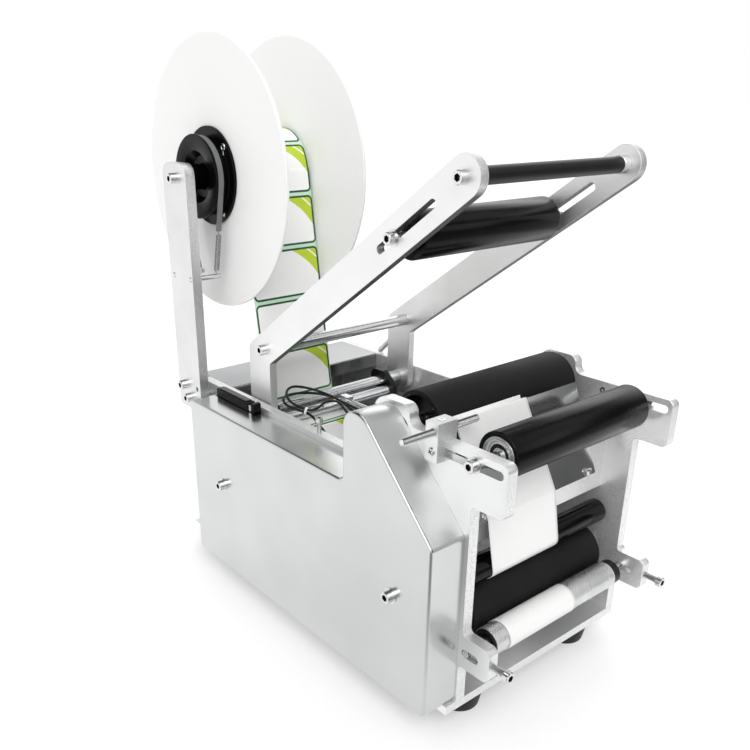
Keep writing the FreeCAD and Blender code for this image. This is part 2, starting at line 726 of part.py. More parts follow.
def idler_shaft():
    shaft = rod("idler_rod", (inside_left, *idler), S.rod_dia / 2, S.inner_width)
    bores = []
    for side, x in (("left", inside_left - 1), ("right", inside_right - 15)):
        bores.append(rod(f"idler_{side}_thread", (x, *idler), S.bolt_dia / 2 + bore_fit, 16))
    bar = cut("idler_rod_cut", shaft, bores)
    left = place_bolt(clamp_bolt("idler_bolt_left", S.casing_width, idler, -1, S.plate_thick + 12))
    right = place_bolt(clamp_bolt("idler_bolt_right", right_face, idler, 1, S.plate_thick + 12))
    finish_part(group("idler_shaft_group", [bar, left, right]), "idler_shaft")


def guide_roller():
    radius = S.guide_dia / 2
    start = inside_left + S.guide_start
    end = inside_right - S.guide_end
    bore = S.rod_dia / 2 + bore_fit
    tube = turned("guide_roller_body", [(start, bore), (start, radius), (end, radius), (end, bore)])
    finish_part(tube, "guide_roller", 0, *guide)


def knurled_roller():
    radius = S.knurl_dia / 2
    start = inside_left + S.knurl_start
    end = inside_right - S.knurl_end
    bore = S.rod_dia / 2 + bore_fit
    cap = S.knurl_cap
    body = turned("knurled_body", [
        (start + cap, bore + 2), (start + cap, radius), (end - cap, radius), (end - cap, bore + 2)])
    finish_part(body, "knurled_roller", 0, *knurl)
    caps = []
    for side, x in (("left", start), ("right", end - cap)):
        outer = rod(f"knurl_{side}_cap", (x, *knurl), radius - 0.8, cap)
        hole = rod(f"knurl_{side}_bore", (x - 1, *knurl), bore, cap + 2)
        caps.append(cut(f"knurl_{side}_end", outer, [hole]))
    finish_part(group("knurl_caps", caps), "knurled_roller_ends")
    end_radius = S.knurl_end_dia / 2
    shaft = turned("knurl_shaft_body", [
        (S.casing_width, 0), (S.casing_width, end_radius), (inside_left, end_radius),
        (inside_left, S.rod_dia / 2), (inside_right, S.rod_dia / 2), (inside_right, end_radius),
        (right_face, end_radius), (right_face, 0)])
    finish_part(shaft, "knurled_shaft", 0, *knurl)


def close_wound(name, start, far, turns, dia, hook=0.0):
    """A coil spring from one point to another, drawn as its envelope with one groove for each turn."""
    start = Vector(*(size(amount).value for amount in start))
    axis = Vector(*(size(amount).value for amount in far)) - start
    step = (axis.Length - hook) / turns
    radius = size(dia).value / 2
    wire = S.spring_wire.value
    profile = [(0, 0), (0, wire), (hook, wire), (hook, radius)] if hook else [(0, 0), (0, radius)]
    for index in range(turns):
        profile.append((hook + step * (index + 0.5), radius - wire * 0.75))
        profile.append((hook + step * (index + 1), radius))
    profile.append((axis.Length, 0))
    axis.normalize()
    side = axis.cross(Vector(1, 0, 0)).normalize()
    points = [start + axis * along + side * out for along, out in profile]
    face = Part.Face(Part.makePolygon(points + points[:1]))
    return shape_part(name, face.revolve(start, axis, 360))


def nip_adjusters():
    """Long screws in the front edge of the lower arms, each with a spring behind it."""
    tip = S.slot_width / 2 - S.lower_slot_front - 3
    head_front = -(S.lower_arm_reach + S.adjuster_stand + S.bolt_head_high)
    bolts = []
    springs = []
    for side, x in (("left", plate_middle_left), ("right", plate_middle_right)):
        head = rod(f"adjuster_{side}_head", (x, head_front, S.knurl_up), S.bolt_head / 2,
                   S.bolt_head_high, "y")
        shank = rod(f"adjuster_{side}_shank", (x, head_front + S.bolt_head_high, S.knurl_up),
                    S.bolt_dia / 2, tip - head_front - S.bolt_head_high, "y")
        bolts.append(join(f"adjuster_{side}", [head, shank]))
        springs.append(close_wound(f"nip_spring_{side}", (x, tip, S.knurl_up),
                                   (x, knurl[0] - S.knurl_end_dia / 2, S.knurl_up), 4, S.spring_dia))
    finish_part(group("adjuster_group", bolts), "nip_adjusting_bolts")
    finish_part(group("nip_spring_group", springs), "nip_springs")


# ---------------------------------------------------------------------------------------------
# peel plate

def peel_plate():
    edge = (S.peel_edge_back, S.peel_edge_up)
    foot = (S.peel_foot_back, S.peel_foot_up)
    back = (peel_back[0] * S.peel_thick, peel_back[1] * S.peel_thick)
    bevel = S.peel_thick * 2.5
    body = new_body("peel_plate_body")
    sketch = new_sketch(body, "peel_outline", "YZ_Plane")
    draw_outline(sketch, [foot, edge,
                          (edge[0] - peel_along[0] * bevel + back[0], edge[1] - peel_along[1] * bevel + back[1]),
                          (foot[0] + back[0], foot[1] + back[1])])
    pad(body, sketch, peel_width)
    holes = new_sketch(body, "peel_holes", "XZ_Plane")
    for x in (S.peel_screw_in, peel_width - S.peel_screw_in):
        draw_circle(holes, (x, S.peel_screw_up), 2.1)
    pocket(body, holes, bar_front * 4, "peel_hole_cut")
    finish_part(body, "peel_plate", peel_left)


def frame_screws():
    """Screws of the peel plate with their sleeves, the casing's wall screws and the plate's stud."""
    pieces = []
    seat_y = S.peel_foot_back + (S.peel_screw_up - S.peel_foot_up) * peel_run / peel_rise
    behind = seat_y + S.peel_thick + 2.2
    sunk = 0.7
    right_x = peel_left + peel_width - S.peel_screw_in
    for side, x in (("left", peel_left + S.peel_screw_in), ("right", right_x)):
        shank = rod(f"peel_{side}_shank", (x, seat_y + sunk, S.peel_screw_up), 2,
                    bar_front - seat_y - sunk, "y")
        if x is right_x:
            head = rod("peel_right_head", (x, seat_y - 3.2, S.peel_screw_up), 3.6, 1.6, "y")
            neck = rod("peel_right_neck", (x, seat_y - 1.7, S.peel_screw_up), 2, 2.5, "y")
            shank = join("peel_screw_right", [head, neck, shank])
        pieces.append(shank)
        outer = rod(f"peel_{side}_sleeve", (x, behind, S.peel_screw_up), 4, bar_front - behind, "y")
        bore = rod(f"peel_{side}_sleeve_bore", (x, behind - 1, S.peel_screw_up), 2 + bore_fit,
                   bar_front - behind + 2, "y")
        pieces.append(cut(f"peel_{side}_spacer", outer, [bore]))
    for index, spot in enumerate(wall_screws):
        pieces.append(place_bolt(clamp_bolt(f"wall_screw_{index}", 0, spot, -1,
                                            S.casing_width + S.plate_thick - 1)))
    stud = rod("plate_stud_bar", (plate_middle_left, S.stud_back, S.plate_height), 2, 10, "z")
    head = rod("plate_stud_head", (plate_middle_left, S.stud_back, S.plate_height + 10), 3.4, 4, "z")
    pieces.append(join("plate_stud", [stud, head]))
    finish_part(group("frame_screw_group", pieces), "frame_screws")


# ---------------------------------------------------------------------------------------------
# press arm

arm_down = S.handle_up - S.elbow_up
arm_back = S.pivot_back - S.handle_back
arm_reach = root_of(arm_down * arm_down + arm_back * arm_back)
# unit steps along the upper bar towards the elbow, and square to it upwards
bar_along = (arm_back / arm_reach, -(arm_down / arm_reach))
bar_up = (arm_down / arm_reach, arm_back / arm_reach)
arm_left = inside_left + S.arm_side_gap
arm_right = inside_right - S.arm_side_gap - S.arm_plate


def on_bar(along, up=0.0):
    """A point of the upper bar, from the handle's axis."""
    along = size(along)
    up = size(up)
    return (S.handle_back + bar_along[0] * along + bar_up[0] * up,
            S.handle_up + bar_along[1] * along + bar_up[1] * up)


def press_arm(name, x):
    half = S.arm_bar_width / 2
    leg = S.arm_leg_width / 2
    rear = S.pivot_back + leg
    front = S.pivot_back - leg
    top = on_bar(-half, half)
    under = on_bar(-half, -half)
    elbow_out = (rear, top[1] + (rear - top[0]) * bar_along[1] / bar_along[0])
    elbow_in = (front, under[1] + (front - under[0]) * bar_along[1] / bar_along[0])
    outline = [top, elbow_out, (rear, S.pivot_up - leg), (front, S.pivot_up - leg), elbow_in, under]
    body = new_body(name + "_body")
    sketch = new_sketch(body, name + "_outline", "YZ_Plane")
    draw_outline(sketch, outline)
    pad(body, sketch, S.arm_plate)
    round_corners(body, [outline[0], outline[5]], half * 0.98, name + "_handle_end")
    round_corners(body, [outline[2], outline[3]], leg * 0.98, name + "_pivot_end")
    round_corners(body, [outline[1]], S.elbow_round, name + "_elbow")
    round_corners(body, [outline[4]], S.elbow_round / 2, name + "_elbow_inside")
    holes = new_sketch(body, name + "_holes", "YZ_Plane")
    draw_circle(holes, pivot, shaft_radius + bore_fit)
    draw_circle(holes, handle, S.bolt_dia / 2)
    draw_circle(holes, (S.cross_rod_back, S.cross_rod_up), S.bolt_dia / 2)
    pocket(body, holes, S.arm_plate * 4, name + "_hole_cut")
    slot = new_sketch(body, name + "_slot", "YZ_Plane")
    draw_slot(slot, on_bar(S.arm_slot_near), on_bar(S.arm_slot_far), S.slot_width)
    pocket(body, slot, S.arm_plate * 4, name + "_slot_cut")
    finish_part(body, name, x)


def cap_screw(name, x, centre, outward, grip, dia=None):
    """A socket cap screw along X whose head lies on the face at x."""
    dia = S.bolt_dia if dia is None else size(dia)
    head = dia * 5 / 6
    face = size(x)
    top = face + dia * outward
    tip = face - size(grip) * outward
    socket = top - dia / 2 * outward
    outline = [(tip, 0), (tip, dia / 2), (face, dia / 2), (face, head), (top, head), (top, dia / 2.6),
               (socket, dia / 2.6), (socket, 0)]
    return place_bolt((turned(name, outline), centre))


def arm_fittings():
    width = arm_right - arm_left - S.arm_plate
    inner = arm_left + S.arm_plate
    thread = 12
    grip = rod("grip_bar", (inner, *handle), S.grip_dia / 2, width - 8)
    end = rod("grip_end_disc", (inner + width - 8, *handle), S.grip_dia / 2 + 0.6, 8)
    bore_grip = rod("grip_bore", (inner - 1, *handle), 3.05, thread + 1)
    bore_end = rod("grip_end_bore", (inner + width - 9, *handle), 3.05, 10)
    bore_far = rod("grip_far_bore", (inner + width - 8 - thread, *handle), 3.05, thread + 1)
    grip_parts = [cut("grip_cut", grip, [bore_grip, bore_far]), cut("grip_end_cut", end, [bore_end])]
    finish_part(group("grip_group", grip_parts), "handle_grip")
    spot = (S.cross_rod_back, S.cross_rod_up)
    bar = rod("cross_rod_bar", (inner, *spot), S.shaft_dia / 2, width)
    bores = [rod("cross_rod_near", (inner - 1, *spot), 3.05, thread + 1),
             rod("cross_rod_far", (inner + width - thread, *spot), 3.05, thread + 1)]
    finish_part(cut("cross_rod_cut", bar, bores), "arm_cross_rod")
    screws = [
        cap_screw("handle_screw_left", arm_left, handle, -1, S.arm_plate + thread),
        cap_screw("handle_screw_right", arm_right + S.arm_plate, handle, 1, S.arm_plate + thread),
        cap_screw("cross_screw_left", arm_left, spot, -1, S.arm_plate + thread, 5.9),
        cap_screw("cross_screw_right", arm_right + S.arm_plate, spot, 1, S.arm_plate + thread, 5.9),
    ]
    finish_part(group("arm_screw_group", screws), "arm_screws")


def press_roller():
    centre = on_bar(S.press_at)
    radius = S.press_dia / 2
    start = inside_left + S.press_start
    end = inside_right - S.press_end
    bore = S.rod_dia / 2 + bore_fit
    body = turned("press_roller_body", [
        (start - 1, bore), (start - 1, bore + 5), (start, bore + 5), (start, radius), (end, radius),
        (end, bore + 5), (end + 1, bore + 5), (end + 1, bore)])
    finish_part(body, "press_roller", 0, *centre)
    inner = arm_left + S.arm_plate
    shaft = rod("press_rod", (inner, *centre), S.rod_dia / 2, arm_right - inner)
    bores = [rod("press_rod_near", (inner - 1, *centre), 3.05, 13),
             rod("press_rod_far", (arm_right - 12, *centre), 3.05, 13)]
    bar = cut("press_rod_cut", shaft, bores)
    left = place_bolt(clamp_bolt("press_bolt_left", arm_left, centre, -1, S.arm_plate + 10))
    right = place_bolt(clamp_bolt("press_bolt_right", arm_right + S.arm_plate, centre, 1, S.arm_plate + 10))
    finish_part(group("press_shaft_group", [bar, left, right]), "press_roller_shaft")


def arm_pivot():
    """The shaft that the arm swings on; its collar keeps the right bracket off the arm."""
    collar = shaft_radius + 1
    bracket_end = guide_right + S.guide_thick * 2
    body = turned("pivot_body", [
        (S.casing_width, 0), (S.casing_width, shaft_radius), (bracket_end, shaft_radius),
        (bracket_end, collar), (arm_right, collar), (arm_right, shaft_radius), (right_face, shaft_radius),
        (right_face, 0)])
    finish_part(body, "arm_pivot_shaft", 0, *pivot)


def strip_rods():
    """Rods that carry and turn the label strip: two between the brackets, the rest between the plates."""
    bracket_span = (guide_left, guide_right + S.guide_thick * 2 - guide_left)
    plate_span = (S.casing_width, right_face - S.casing_width)
    places = [("threaded", threaded, S.slim_rod, bracket_span), ("smooth", smooth, S.shaft_dia, bracket_span),
              ("turning", turn_rod, S.turn_rod_dia, plate_span), ("lifting", lifting, S.rod_dia, plate_span),
              ("roller", guide, S.rod_dia, plate_span)]
    rods = [rod(f"{name}_rod", (start, *centre), dia / 2, length)
            for name, centre, dia, (start, length) in places]
    finish_part(group("strip_rod_group", rods), "strip_rods")


def guide_brackets():
    """Plastic brackets on the pivot shaft that hold the two rods over the label strip."""
    for name, x, thick in (("guide_bracket_left", guide_left, S.guide_thick),
                           ("guide_bracket_right", guide_right, S.guide_thick * 2)):
        rear = S.pivot_back + 13
        front = S.smooth_back - 9
        top = S.pivot_up + 13
        under = S.smooth_up - 9
        leg_front = S.pivot_back - 4
        outline = [(rear, S.pivot_up - 20), (rear, top), (S.pivot_back - 8, top), (front, S.smooth_up + 5),
                   (front, under), (leg_front, under), (leg_front, S.pivot_up - 20)]
        body = new_body(name + "_body")
        sketch = new_sketch(body, name + "_outline", "YZ_Plane")
        draw_outline(sketch, outline)
        pad(body, sketch, thick)
        round_corners(body, [outline[1], outline[2]], 8, name + "_top")
        holes = new_sketch(body, name + "_holes", "YZ_Plane")
        for centre, dia in ((pivot, S.shaft_dia), (threaded, S.slim_rod), (smooth, S.shaft_dia)):
            draw_circle(holes, centre, dia / 2 + bore_fit)
        pocket(body, holes, S.guide_thick * 8, name + "_hole_cut")
        finish_part(body, name, x)


# ---------------------------------------------------------------------------------------------
# reel on its post

def reel_post():
    front = S.reel_back - S.post_width / 2
    rear = S.reel_back + S.post_width / 2
    body = new_body("reel_post_body")
    sketch = new_sketch(body, "reel_post_outline", "YZ_Plane")
    outline = [(front, S.post_bottom), (rear, S.post_bottom), (rear, S.post_top), (front, S.post_top)]
    draw_outline(sketch, outline)
    pad(body, sketch, S.post_thick)
    round_corners(body, [outline[2], outline[3]], S.post_width / 4, "reel_post_top")
    round_corners(body, [outline[0], outline[1]], S.casing_round, "reel_post_foot")
    holes = new_sketch(body, "reel_post_holes", "YZ_Plane")
    draw_circle(holes, reel, S.bolt_dia / 2)
    for spot in post_screws:
        draw_circle(holes, spot, S.bolt_dia / 2)
    draw_circle(holes, (S.spare_hole_back, S.spare_hole_up), S.spare_hole_dia / 2)
    for back in (S.front_pin_back, S.rear_pin_back):
        draw_circle(holes, (back, S.pin_up), S.pin_dia / 2)
    pocket(body, holes, S.post_thick * 4, "reel_post_hole_cut")
    finish_part(body, "reel_post", post_left)
    spacers = []
    screws = []
    for index, spot in enumerate(post_screws):
        outer = rod(f"post_spacer_{index}", (post_left + S.post_thick, *spot), 7, S.post_stand)
        bore = rod(f"post_spacer_bore_{index}", (post_left, *spot), S.bolt_dia / 2, S.post_stand * 3)
        spacers.append(cut(f"post_sleeve_{index}", outer, [bore]))
        screws.append(cap_screw(f"post_screw_{index}", post_left, spot, -1,
                                S.post_thick + S.post_stand + S.plate_thick - 1))
    screws.append(cap_screw("axle_screw", post_left, reel, -1, S.post_thick + 12))
    finish_part(group("post_screw_group", screws + spacers + brake_pins()), "post_fittings")


def reel_axle():
    start = post_left + S.post_thick
    end = S.disc_start + S.web_width + 30
    axle = rod("axle_bar", (start, *reel), shaft_radius, end - start)
    bore = rod("axle_thread", (start - 1, *reel), 3.05, 13)
    finish_part(cut("axle_cut", axle, [bore]), "reel_axle")


def reel_hub():
    """Brake drum and core tube in one turned piece, with the fixed disc on it."""
    bore = shaft_radius + bore_fit
    start = S.drum_start
    groove = S.drum_dia / 2
    rim = S.drum_rim / 2
    flange = S.drum_flange / 2
    disc = S.disc_start
    core = S.core_dia / 2
    end = disc + S.disc_thick + S.web_width + 1.5
    tube = core - 3
    body = turned("reel_hub_body", [
        (post_left + S.post_thick + 1, bore), (post_left + S.post_thick + 1, 12), (start + 3, 12),
        (start, rim - 5), (start, rim), (start + 2, rim), (start + 2, groove), (disc - 3, groove),
        (disc - 3, flange), (disc, flange), (disc, core), (end, core), (end, tube), (disc + 4, tube),
        (disc + 4, 12), (end, 12), (end, bore)])
    finish_part(body, "reel_hub", 0, *reel)
    left = turned("disc_left_body", [(disc, core), (disc, S.disc_dia / 2),
                                     (disc + S.disc_thick, S.disc_dia / 2), (disc + S.disc_thick, core)])
    finish_part(left, "reel_disc_left", 0, *reel)
    outer = end
    disc = turned("disc_right_body", [
        (outer, 12), (outer, S.disc_dia / 2), (outer + S.disc_thick, S.disc_dia / 2),
        (outer + S.disc_thick, 12)])
    collar_end = outer + S.disc_thick + 12
    collar = turned("collar_body", [(outer + S.disc_thick, bore), (outer + S.disc_thick, 20),
                                    (collar_end, 18), (collar_end, bore)])
    finish_part(group("disc_right_group", [disc, collar]), "reel_disc_right", 0, *reel)
    roll = turned("roll_body", [(S.web_left, core + 0.2), (S.web_left, S.roll_dia / 2),
                                (S.web_left + S.web_width, S.roll_dia / 2),
                                (S.web_left + S.web_width, core + 0.2)])
    finish_part(roll, "label_roll", 0, *reel)


band_left = S.drum_start + 3.4
band_top_spring = (349, 335)
band_low_spring = (358.4, 292.7)
arm_spring_top = (286.5, 226.5)


def brake_band():
    turn = S.drum_dia / 2 + S.gap + S.band_thick
    start = (band_top_spring[0] - 0.1, band_top_spring[1] + 0.4)
    end = (S.rear_pin_back + 0.9, S.pin_up + S.pin_dia / 2 + S.gap * 2)
    shape = ribbon([(*start, 0), (*reel, -turn), (*end, 0)], -S.band_thick, band_left, S.band_width)
    finish_part(shape_part("brake_band_strip", shape), "brake_band")


def brake_spring():
    across = band_left + S.band_width / 2
    coil = close_wound("brake_spring_coil", (across, *band_low_spring), (across, *band_top_spring),
                       8, S.spring_dia, hook=3.5)
    finish_part(coil, "brake_spring")


def arm_spring():
    """The tension spring that holds the arm up, from the right plate's top to the cross rod's screw."""
    foot = (plate_middle_right, S.arm_spring_back, S.plate_height + S.gap * 3)
    coil = close_wound("arm_spring_coil", foot, (plate_middle_right, *arm_spring_top), 10,
                       S.spring_dia + 1, hook=3.5)
    finish_part(coil, "arm_spring")


def brake_pins():
    length = band_left + S.band_width + 2 - post_left
    pins = []
    for name, back in (("front", S.front_pin_back), ("rear", S.rear_pin_back)):
        pins.append(rod(f"{name}_brake_pin", (post_left, back, S.pin_up), S.pin_dia / 2, length))
    return pins


# ---------------------------------------------------------------------------------------------
# label strip and liner

def left_of(diameter):
    """Turn of a path round something on its left, clear by the running gap."""
    return size(diameter) / 2 + S.gap + S.paper_thick


def right_of(diameter):
    return -(size(diameter) / 2 + S.gap)


def nip_points():
    """Where the liner leaves the traction roller and where it comes onto the knurled one."""
    across = (knurl[0] - S.traction_back) / nip_reach
    down = (S.knurl_up - S.traction_up) / nip_reach
    rising = (down, -across)
    near = S.roller_dia / 2 + S.gap
    far = nip_reach - S.knurl_dia / 2 - S.gap - S.paper_thick
    leave = (S.traction_back + across * near + rising[0] * 0.3, S.traction_up + down * near + rising[1] * 0.3)
    enter = (S.traction_back + across * far + rising[0] * 0.8, S.traction_up + down * far + rising[1] * 0.8)
    return leave, enter


def label_strip():
    route = [
        (*reel, left_of(S.roll_dia)),
        (*pivot, right_of(S.shaft_dia)),
        (*smooth, right_of(S.shaft_dia)),
        (S.bed_front + S.bed_round, S.bed_up - S.bed_round, left_of(S.bed_round * 2)),
        (*turn_rod, right_of(S.turn_rod_dia)),
        (*lifting, right_of(S.rod_dia)),
        peel_end,
    ]
    finish_part(shape_part("label_strip_sheet", ribbon(route, S.paper_thick, S.web_left, S.web_width)),
                "label_strip")


# the strip ends at the peel edge, where the liner folds forward
peel_stand = S.peel_thick + S.gap + S.paper_thick
peel_end = (S.peel_edge_back + peel_back[0] * peel_stand, S.peel_edge_up + peel_back[1] * peel_stand, 0)


def liner():
    leave, enter = nip_points()
    route = [
        (peel_end[0] + peel_along[0] * S.gap * 2, peel_end[1] + peel_along[1] * S.gap * 2, 0),
        (S.peel_edge_back, S.peel_edge_up, left_of(0)),
        (S.peel_foot_back + 1, S.peel_foot_up + 0.5, left_of(2)),
        (*guide, left_of(S.guide_dia)),
        (*traction, right_of(S.roller_dia)),
        (*leave, 0),
    ]
    finish_part(shape_part("liner_sheet", ribbon(route, S.paper_thick, S.liner_left, S.liner_width)), "liner")
    tail = [
        (*enter, 0),
        (*knurl, left_of(S.knurl_dia)),
        (knurl[0] + 4, knurl[1] - left_of(S.knurl_dia) - 0.4, 0),
    ]
    finish_part(shape_part("liner_tail_sheet", ribbon(tail, S.paper_thick, S.liner_left + 4,
                                                      S.liner_width)), "liner_tail")


def label_bed():
    rear = S.bed_front + S.bed_length
    under = S.bed_up - S.bed_thick
    body = new_body("label_bed_body")
    sketch = new_sketch(body, "label_bed_outline", "YZ_Plane")
    outline = [(S.bed_front, under), (rear, under), (rear, S.bed_up), (S.bed_front, S.bed_up)]
    draw_outline(sketch, outline)
    pad(body, sketch, S.inner_width)
    round_corners(body, [outline[3]], S.bed_round, "bed_edge")
    finish_part(body, "label_bed", inside_left)


# ---------------------------------------------------------------------------------------------
# drive inside the casing and electrics in the box

def drive_train():
    place = (S.motor_back, S.motor_up)
    start = S.sheet_thick + 6
    shaft = turned("motor_shaft_body", [(start, 0), (start, shaft_radius), (inside_left, shaft_radius),
                                        (inside_left, 0)])
    wheel = pulley("motor_pulley", outer_belt_x)
    finish_part(group("motor_shaft_group", [shaft, wheel]), "motor_shaft", 0, *place)
    belts = [belt("motor_belt", place, traction, outer_belt_x),
             belt("roller_belt", traction, drive, inner_belt_x)]
    finish_part(group("belt_group", belts), "drive_belts")
    half = S.gearbox_size / 2
    case = box("gearbox_case", (inside_left, S.motor_back - half, S.motor_up - half),
               (S.gearbox_length, S.gearbox_size, S.gearbox_size))
    motor = rod("motor_can", (inside_left + S.gearbox_length, S.motor_back, S.motor_up), S.motor_dia / 2,
                S.motor_length)
    finish_part(group("gear_motor_group", [case, motor]), "gear_motor")


def electrics():
    rear = S.plate_rear - S.sheet_thick
    front = rear - S.supply_length - 30
    supply = box("supply_case", (inside_left + 8, front, 0),
                 (S.supply_width, S.supply_length, S.supply_high))
    board_left = inside_left + 118
    board = box("board_sheet", (board_left, front, 10), (60, 70, 1.6))
    posts = []
    for x in (5, 55):
        for y in (5, 65):
            posts.append(rod(f"board_post_{x}_{y}", (board_left + x, front + y, 0), 3, 10, "z"))
    finish_part(group("electronics_group", [supply, join("board_fuse", [board] + posts)]), "electronics")
    x = inside_left + inlet_at[0]
    shell = box("inlet_shell", (x + 0.2, rear - S.inlet_deep, inlet_at[1] + 0.2),
                (S.inlet_width - 0.4, S.inlet_deep + S.sheet_thick + 1, S.inlet_high - 0.4))
    well = box("inlet_well", (x + 2, S.plate_rear - 15, inlet_at[1] + 2),
               (S.inlet_width - 4, 20, S.inlet_high - 4))
    middle = x + S.inlet_width / 2
    pins = [cut("inlet_cut", shell, [well])]
    for index, (side, up) in enumerate(((-7, 7), (0, 11), (7, 7))):
        pins.append(box(f"inlet_pin_{index}", (middle + side - 1, S.plate_rear - 15, inlet_at[1] + up),
                        (2, 12, 4)))
    x = inside_left + switch_at[0]
    frame = box("switch_shell", (x + 0.2, rear - 14, switch_at[1] + 0.2),
                (S.switch_width - 0.4, 14 + S.sheet_thick + 1, S.switch_high - 0.4))
    well = box("switch_well", (x + 1.5, rear - 12, switch_at[1] + 1.5),
               (S.switch_width - 3, 40, S.switch_high - 3))
    pins.append(cut("switch_cut", frame, [well]))
    finish_part(group("inlet_group", pins), "power_inlet")
    rocker = new_body("rocker_body")
    sketch = new_sketch(rocker, "rocker_outline", "XY_Plane")
    wide = S.switch_width / 2 - 2.4
    draw_outline(sketch, [(-wide, -6), (wide, -6), (wide, 2.6), (0, 1.2), (-wide, 0.2)])
    pad(rocker, sketch, S.switch_high - 4)
    finish_part(rocker, "power_switch", x + S.switch_width / 2, S.plate_rear + 0.5, switch_at[1] + 2)


# ---------------------------------------------------------------------------------------------
# bottle stop, sensor and cables

def bottle_stop():
    left = S.casing_width - S.stop_side
    width = S.stop_side * 2 + 3
    block = box("stop_block_bar", (left, S.stop_front, S.arm_top), (width, S.stop_length,
                                                                    S.stop_top - S.arm_top))
    cheek = box("stop_cheek", (left, S.stop_front, S.stop_bottom),
                (S.stop_side, S.stop_length, S.arm_top - S.stop_bottom))
    bore = rod("stop_bore", (left - 1, S.stop_rod_back, S.stop_rod_up), S.bolt_dia / 2 + bore_fit, width + 2)
    finish_part(cut("stop_cut", join("stop_fuse", [block, cheek]), [bore]), "stop_block")
    finish_part(rod("stop_bar", (-4, S.stop_rod_back, S.stop_rod_up), S.bolt_dia / 2, S.stop_rod_length),
                "stop_rod")


def sensor():
    amp_left = S.casing_width - S.amp_width
    finish_part(box("amp_case", (amp_left, S.amp_front, S.amp_top - S.amp_high),
                    (S.amp_width, S.amp_length, S.amp_high)), "sensor_amplifier")
    barrel = rod("sensor_barrel", (S.sensor_across, S.sensor_front, S.sensor_up), S.slim_rod / 2,
                 S.sensor_length, "y")
    saddle = box("clamp_saddle", (S.sensor_across - 4, S.smooth_back - 14, S.smooth_up - 2), (8, 16, 7))
    arm = box("clamp_arm", (S.sensor_across - 4, S.smooth_back - 17, S.sensor_up - 5.5), (8, 12, 11))
    bore = rod("clamp_bore", (S.sensor_across - 5, *smooth), S.shaft_dia / 2 + bore_fit, 10)
    hole = rod("clamp_hole", (S.sensor_across, S.sensor_front - 1, S.sensor_up), S.slim_rod / 2 + bore_fit,
               S.sensor_length + 1.2, "y")
    clamp = cut("clamp_cut", join("clamp_fuse", [saddle, arm]), [bore, hole])
    finish_part(group("sensor_group", [barrel, clamp]), "sensor_head")


def rounded_route(points, share=0.45):
    """A cable's path: straight runs joined by arcs as large as the runs allow."""
    spots = [Vector(*point) for point in points]
    edges = []
    here = spots[0]
    radii = []
    for before, corner, after in zip(spots, spots[1:], spots[2:]):
        back = (before - corner).normalize()
        ahead = (after - corner).normalize()
        turn = math.pi - back.getAngle(ahead)
        trim = share * min((before - corner).Length, (after - corner).Length)
        radius = trim / math.tan(turn / 2)
        radii.append(round(radius, 1))
        start = corner + back * trim
        end = corner + ahead * trim
        middle_line = (back + ahead).normalize()
        centre = corner + middle_line * (radius / math.cos(turn / 2))
        middle = centre - middle_line * radius
        edges.append(Part.LineSegment(here, start).toShape())
        edges.append(Part.Arc(start, middle, end).toShape())
        here = end
    edges.append(Part.LineSegment(here, spots[-1]).toShape())
    return Part.Wire(edges), radii


def cable(name, points):
    wire, radii = rounded_route(points)
    first = (Vector(*points[1]) - Vector(*points[0])).normalize()
    profile = Part.Wire(Part.Circle(Vector(*points[0]), first, S.cable_dia.value / 2).toShape())
    shape = wire.makePipeShell([profile], True, True)
    expected = math.pi * S.cable_dia.value ** 2 / 4 * wire.Length
    print(name, "length", round(wire.Length, 1), "radii", radii,
          "volume ratio", round(shape.Volume / expected, 4))
    finish_part(shape_part(name + "_tube", shape), name)


# chosen by hand, from the machine datum: out of the left plate, through the tie, round a first loop over
# the rods, back at the front, through the tie again, round a second, higher loop and into the sensor
SENSOR_CABLE = [
    (45.5, 190, 158), (55.7, 190, 158), (64, 202, 160), (69, 222, 165), (72.7, 240.5, 169.4),
    (68.5, 252, 171.2), (63.5, 260.5, 173), (62.3, 269, 174.5), (65.5, 278, 175.6), (71.5, 284, 176),
    (79, 286.3, 176), (88.5, 286, 175.5), (98.5, 282.5, 174.6), (107.5, 277.5, 173.5), (115.5, 270, 172),
    (120.5, 261, 169.6), (122.5, 250, 166.3), (122, 238, 163.6), (121.2, 224, 162.7), (120.8, 212, 163),
    (115.6, 206.6, 163.7), (108.2, 206.6, 164.8), (103, 212, 166.5), (102.6, 222, 170),
    (104.6, 231.5, 173.8), (105.4, 238.8, 175.9), (100.2, 245, 176.6), (92.2, 245.3, 176.3), (85.5, 241.8, 175),
    (78.6, 240.9, 173.6), (72.9, 243.8, 172.8), (68.4, 253, 174.3), (66.6, 263, 176), (67.5, 272, 178),
    (71.5, 280.5, 180.5), (77.5, 286.5, 182.2), (86, 289.3, 182.6), (94, 286.6, 181.2), (102, 281.5, 179),
    (109, 273, 176.3), (113.2, 262, 174.2), (115, 250, 172.3), (116, 237, 171), (117.2, 222, 170),
    (119, 208, 168.3), (124.3, 202.6, 166.5), (131.8, 202.6, 164.5), (137.2, 208, 163), (137, 215.6, 162.5),
    (137, 222, 162.5),
]


